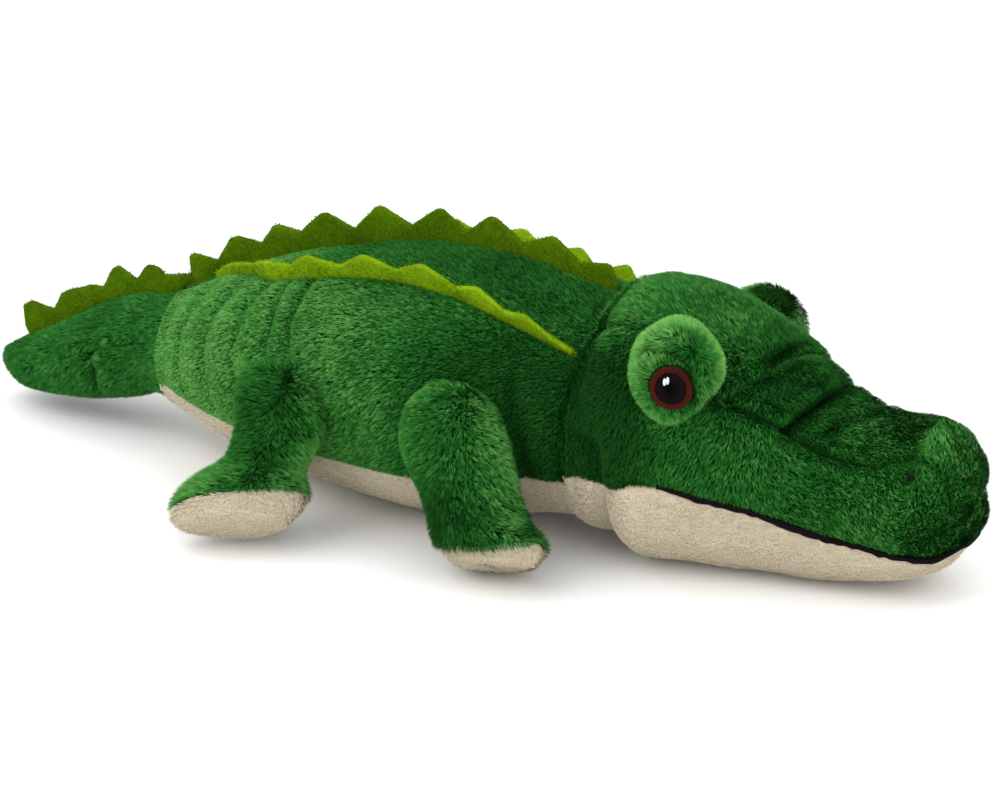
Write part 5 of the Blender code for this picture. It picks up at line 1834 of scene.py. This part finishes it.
CENTRE_OUTLINE = (
    (-.035, 4.0), (.006, 4.6), (.022, 11.2), (.034, 11.6), (.080, 5.0), (.122, 12.0),
    (.135, 12.0), (.180, 6.4), (.222, 12.0), (.232, 12.0), (.278, 7.2), (.330, 13.4),
    (.342, 13.4), (.396, 6.0), (.450, 13.6), (.462, 13.6), (.520, 5.4), (.575, 12.4),
    (.587, 12.4), (.645, 5.0), (.690, 12.0), (.702, 12.0), (.770, 4.8), (.824, 10.6),
    (.836, 10.6), (.895, 4.4), (.945, 9.0), (.957, 9.0), (.985, 3.0))
SIDE_OUTLINE = (
    (.085, 2.0), (.120, 3.6), (.210, 3.8), (.262, 7.0), (.274, 7.0), (.325, 4.0),
    (.380, 8.6), (.392, 8.6), (.455, 4.2), (.515, 9.8), (.527, 9.8), (.590, 4.4),
    (.655, 10.6), (.667, 10.6), (.728, 4.2), (.780, 10.0), (.790, 10.0), (.838, 4.0),
    (.886, 8.4), (.896, 8.4), (.945, 4.0), (1.0, 2.0))
FAR_OUTLINE = SIDE_OUTLINE[:-5] + (
    (.838, 5.0), (.884, 11.8), (.894, 11.8), (.930, 6.0), (.962, 10.8), (.972, 10.8),
    (1.0, 4.0))
TAIL_OUTLINE = (
    (-.06, 5.0), (.03, 6.0), (.12, 8.0), (.180, 10.6), (.205, 11.0), (.262, 5.6), (.325, 13.0),
    (.350, 13.0), (.430, 6.6), (.485, 9.4), (.620, 11.4), (.650, 11.2), (.715, 6.4),
    (.800, 13.0), (.848, 12.6), (.876, 4.5))


@dataclass(frozen=True)
class Studio:
    """The stage, the lights and the camera.

    Each light has its name, its place and size in metres, and its power in watts.
    """

    LIGHTS = (
        ("key_light", (-0.75, -1.0, 1.35), 1.5, 15.0),
        ("fill_light", (1.3, -0.7, 0.8), 1.6, 10.0),
        ("top_light", (0.1, 0.5, 1.6), 1.8, 8.0),
    )
    LIT = (0.0, 0.0, 0.03)
    FLOOR_SIZE = 30.0
    PAPER = (0.93, 0.93, 0.93, 1.0)

    azimuth: float = 29.0
    elevation: float = 22.5
    distance: float = 1.3
    target: tuple[float, float, float] = (0.0168, 0.0, 0.038)
    pixels_per_metre: float = 2580.0
    target_pixel: tuple[float, float] = (494.0, 411.0)
    sensor: float = 36.0

    def build(self) -> None:
        """Make the floor, the lights, the world and the camera."""
        self.floor()
        for light in self.LIGHTS:
            self.light(*light)
        self.world()
        self.camera()

    def floor(self) -> None:
        """Make the pale floor."""
        bpy.ops.object.select_all(action="DESELECT")
        bpy.ops.mesh.primitive_plane_add(size=self.FLOOR_SIZE)
        item = bpy.context.object
        item.name = item.data.name = "stage_floor"
        material, nodes, shader = new_material("stage_paper")
        nodes.feed(shader, {"Base Color": self.PAPER, "Roughness": 0.95,
                            "Specular IOR Level": 0.05})
        item.data.materials.append(material)

    def light(self, name: str, place: tuple[float, float, float], size: float,
              power: float) -> None:
        """Add one soft square light that faces the toy."""
        data = bpy.data.lights.new(name, "AREA")
        data.shape = "SQUARE"
        data.size = size
        data.energy = power
        item = bpy.data.objects.new(name, data)
        item.location = place
        aim = Vector(self.LIT) - Vector(place)
        item.rotation_euler = aim.to_track_quat("-Z", "Y").to_euler()
        bpy.context.scene.collection.objects.link(item)

    def world(self) -> None:
        """Light the toy from all round, and show the camera plain white."""
        world = bpy.data.worlds.new("studio_world")
        bpy.context.scene.world = world
        world.use_nodes = True
        nodes = Nodes(world.node_tree)
        ambient = world.node_tree.nodes["Background"]
        nodes.feed(ambient, {"Color": (1.0, 1.0, 1.0, 1.0), "Strength": 1.0})
        white = nodes.add("ShaderNodeBackground", {"Strength": 1.0})
        path = nodes.add("ShaderNodeLightPath").outputs["Is Camera Ray"]
        mix = nodes.add("ShaderNodeMixShader",
                        {0: path, 1: ambient.outputs[0], 2: white.outputs[0]})
        nodes.feed(world.node_tree.nodes["World Output"], {"Surface": mix.outputs[0]})
        bpy.context.scene.view_settings.view_transform = "Standard"

    def camera(self) -> None:
        """Place the camera at the photograph's angle."""
        a, e = math.radians(self.azimuth), math.radians(self.elevation)
        back = Vector((math.sin(a) * math.cos(e), -math.cos(a) * math.cos(e), math.sin(e)))
        target = Vector(self.target)
        data = bpy.data.cameras.new("photo_camera")
        width, height = IMAGE_SIZE
        data.sensor_width = self.sensor
        data.lens = self.sensor * self.pixels_per_metre * self.distance / width
        data.shift_x = (width / 2 - self.target_pixel[0]) / width
        data.shift_y = (self.target_pixel[1] - height / 2) / width
        data.clip_end = 50.0
        item = bpy.data.objects.new("photo_camera", data)
        item.location = target + back * self.distance
        item.rotation_euler = (-back).to_track_quat("-Z", "Y").to_euler()
        bpy.context.scene.collection.objects.link(item)
        bpy.context.scene.camera = item


def build_toy(kit: Kit) -> None:
    """Make every piece of the toy.

    Args:
        kit: the finishes and the random numbers.
    """
    body, tail, head = Body(kit), Tail(kit), Head(kit)
    for part in (body, tail, head):
        part.build()
    for limb, side in itertools.product((FRONT, HIND), Side):
        Leg(kit, limb, side).build()
    rows = (
        (RidgeRow("spine_ridge_centre", CENTRE_OUTLINE, BODY_LENGTH, "torso"), body.form,
         body.spine),
        (RidgeRow("spine_ridge_left", FAR_OUTLINE, BODY_LENGTH, "torso", True), body.form,
         body.ridge_left),
        (RidgeRow("spine_ridge_right", SIDE_OUTLINE, BODY_LENGTH, "torso", True), body.form,
         body.ridge_right),
        (RidgeRow("tail_ridge", TAIL_OUTLINE, TAIL_RIDGE_LENGTH, "tail"), tail.form,
         level(RIGHT_ANGLE)),
    )
    for k, (row, form, angle) in enumerate(rows):
        Ridge(kit, row, form, angle, Ridge.SEED + 3 * k).build()


def main() -> None:
    """Build the scene."""
    logging.basicConfig(level=logging.INFO, format="%(message)s")
    finish = {key: made.make() for key, made in FINISHES.items()}
    kit = Kit(finish, np.random.default_rng(SEED), thin=1.0)
    build_toy(kit)
    Studio().build()
    bpy.context.view_layer.update()


if __name__ == "__main__":
    main()
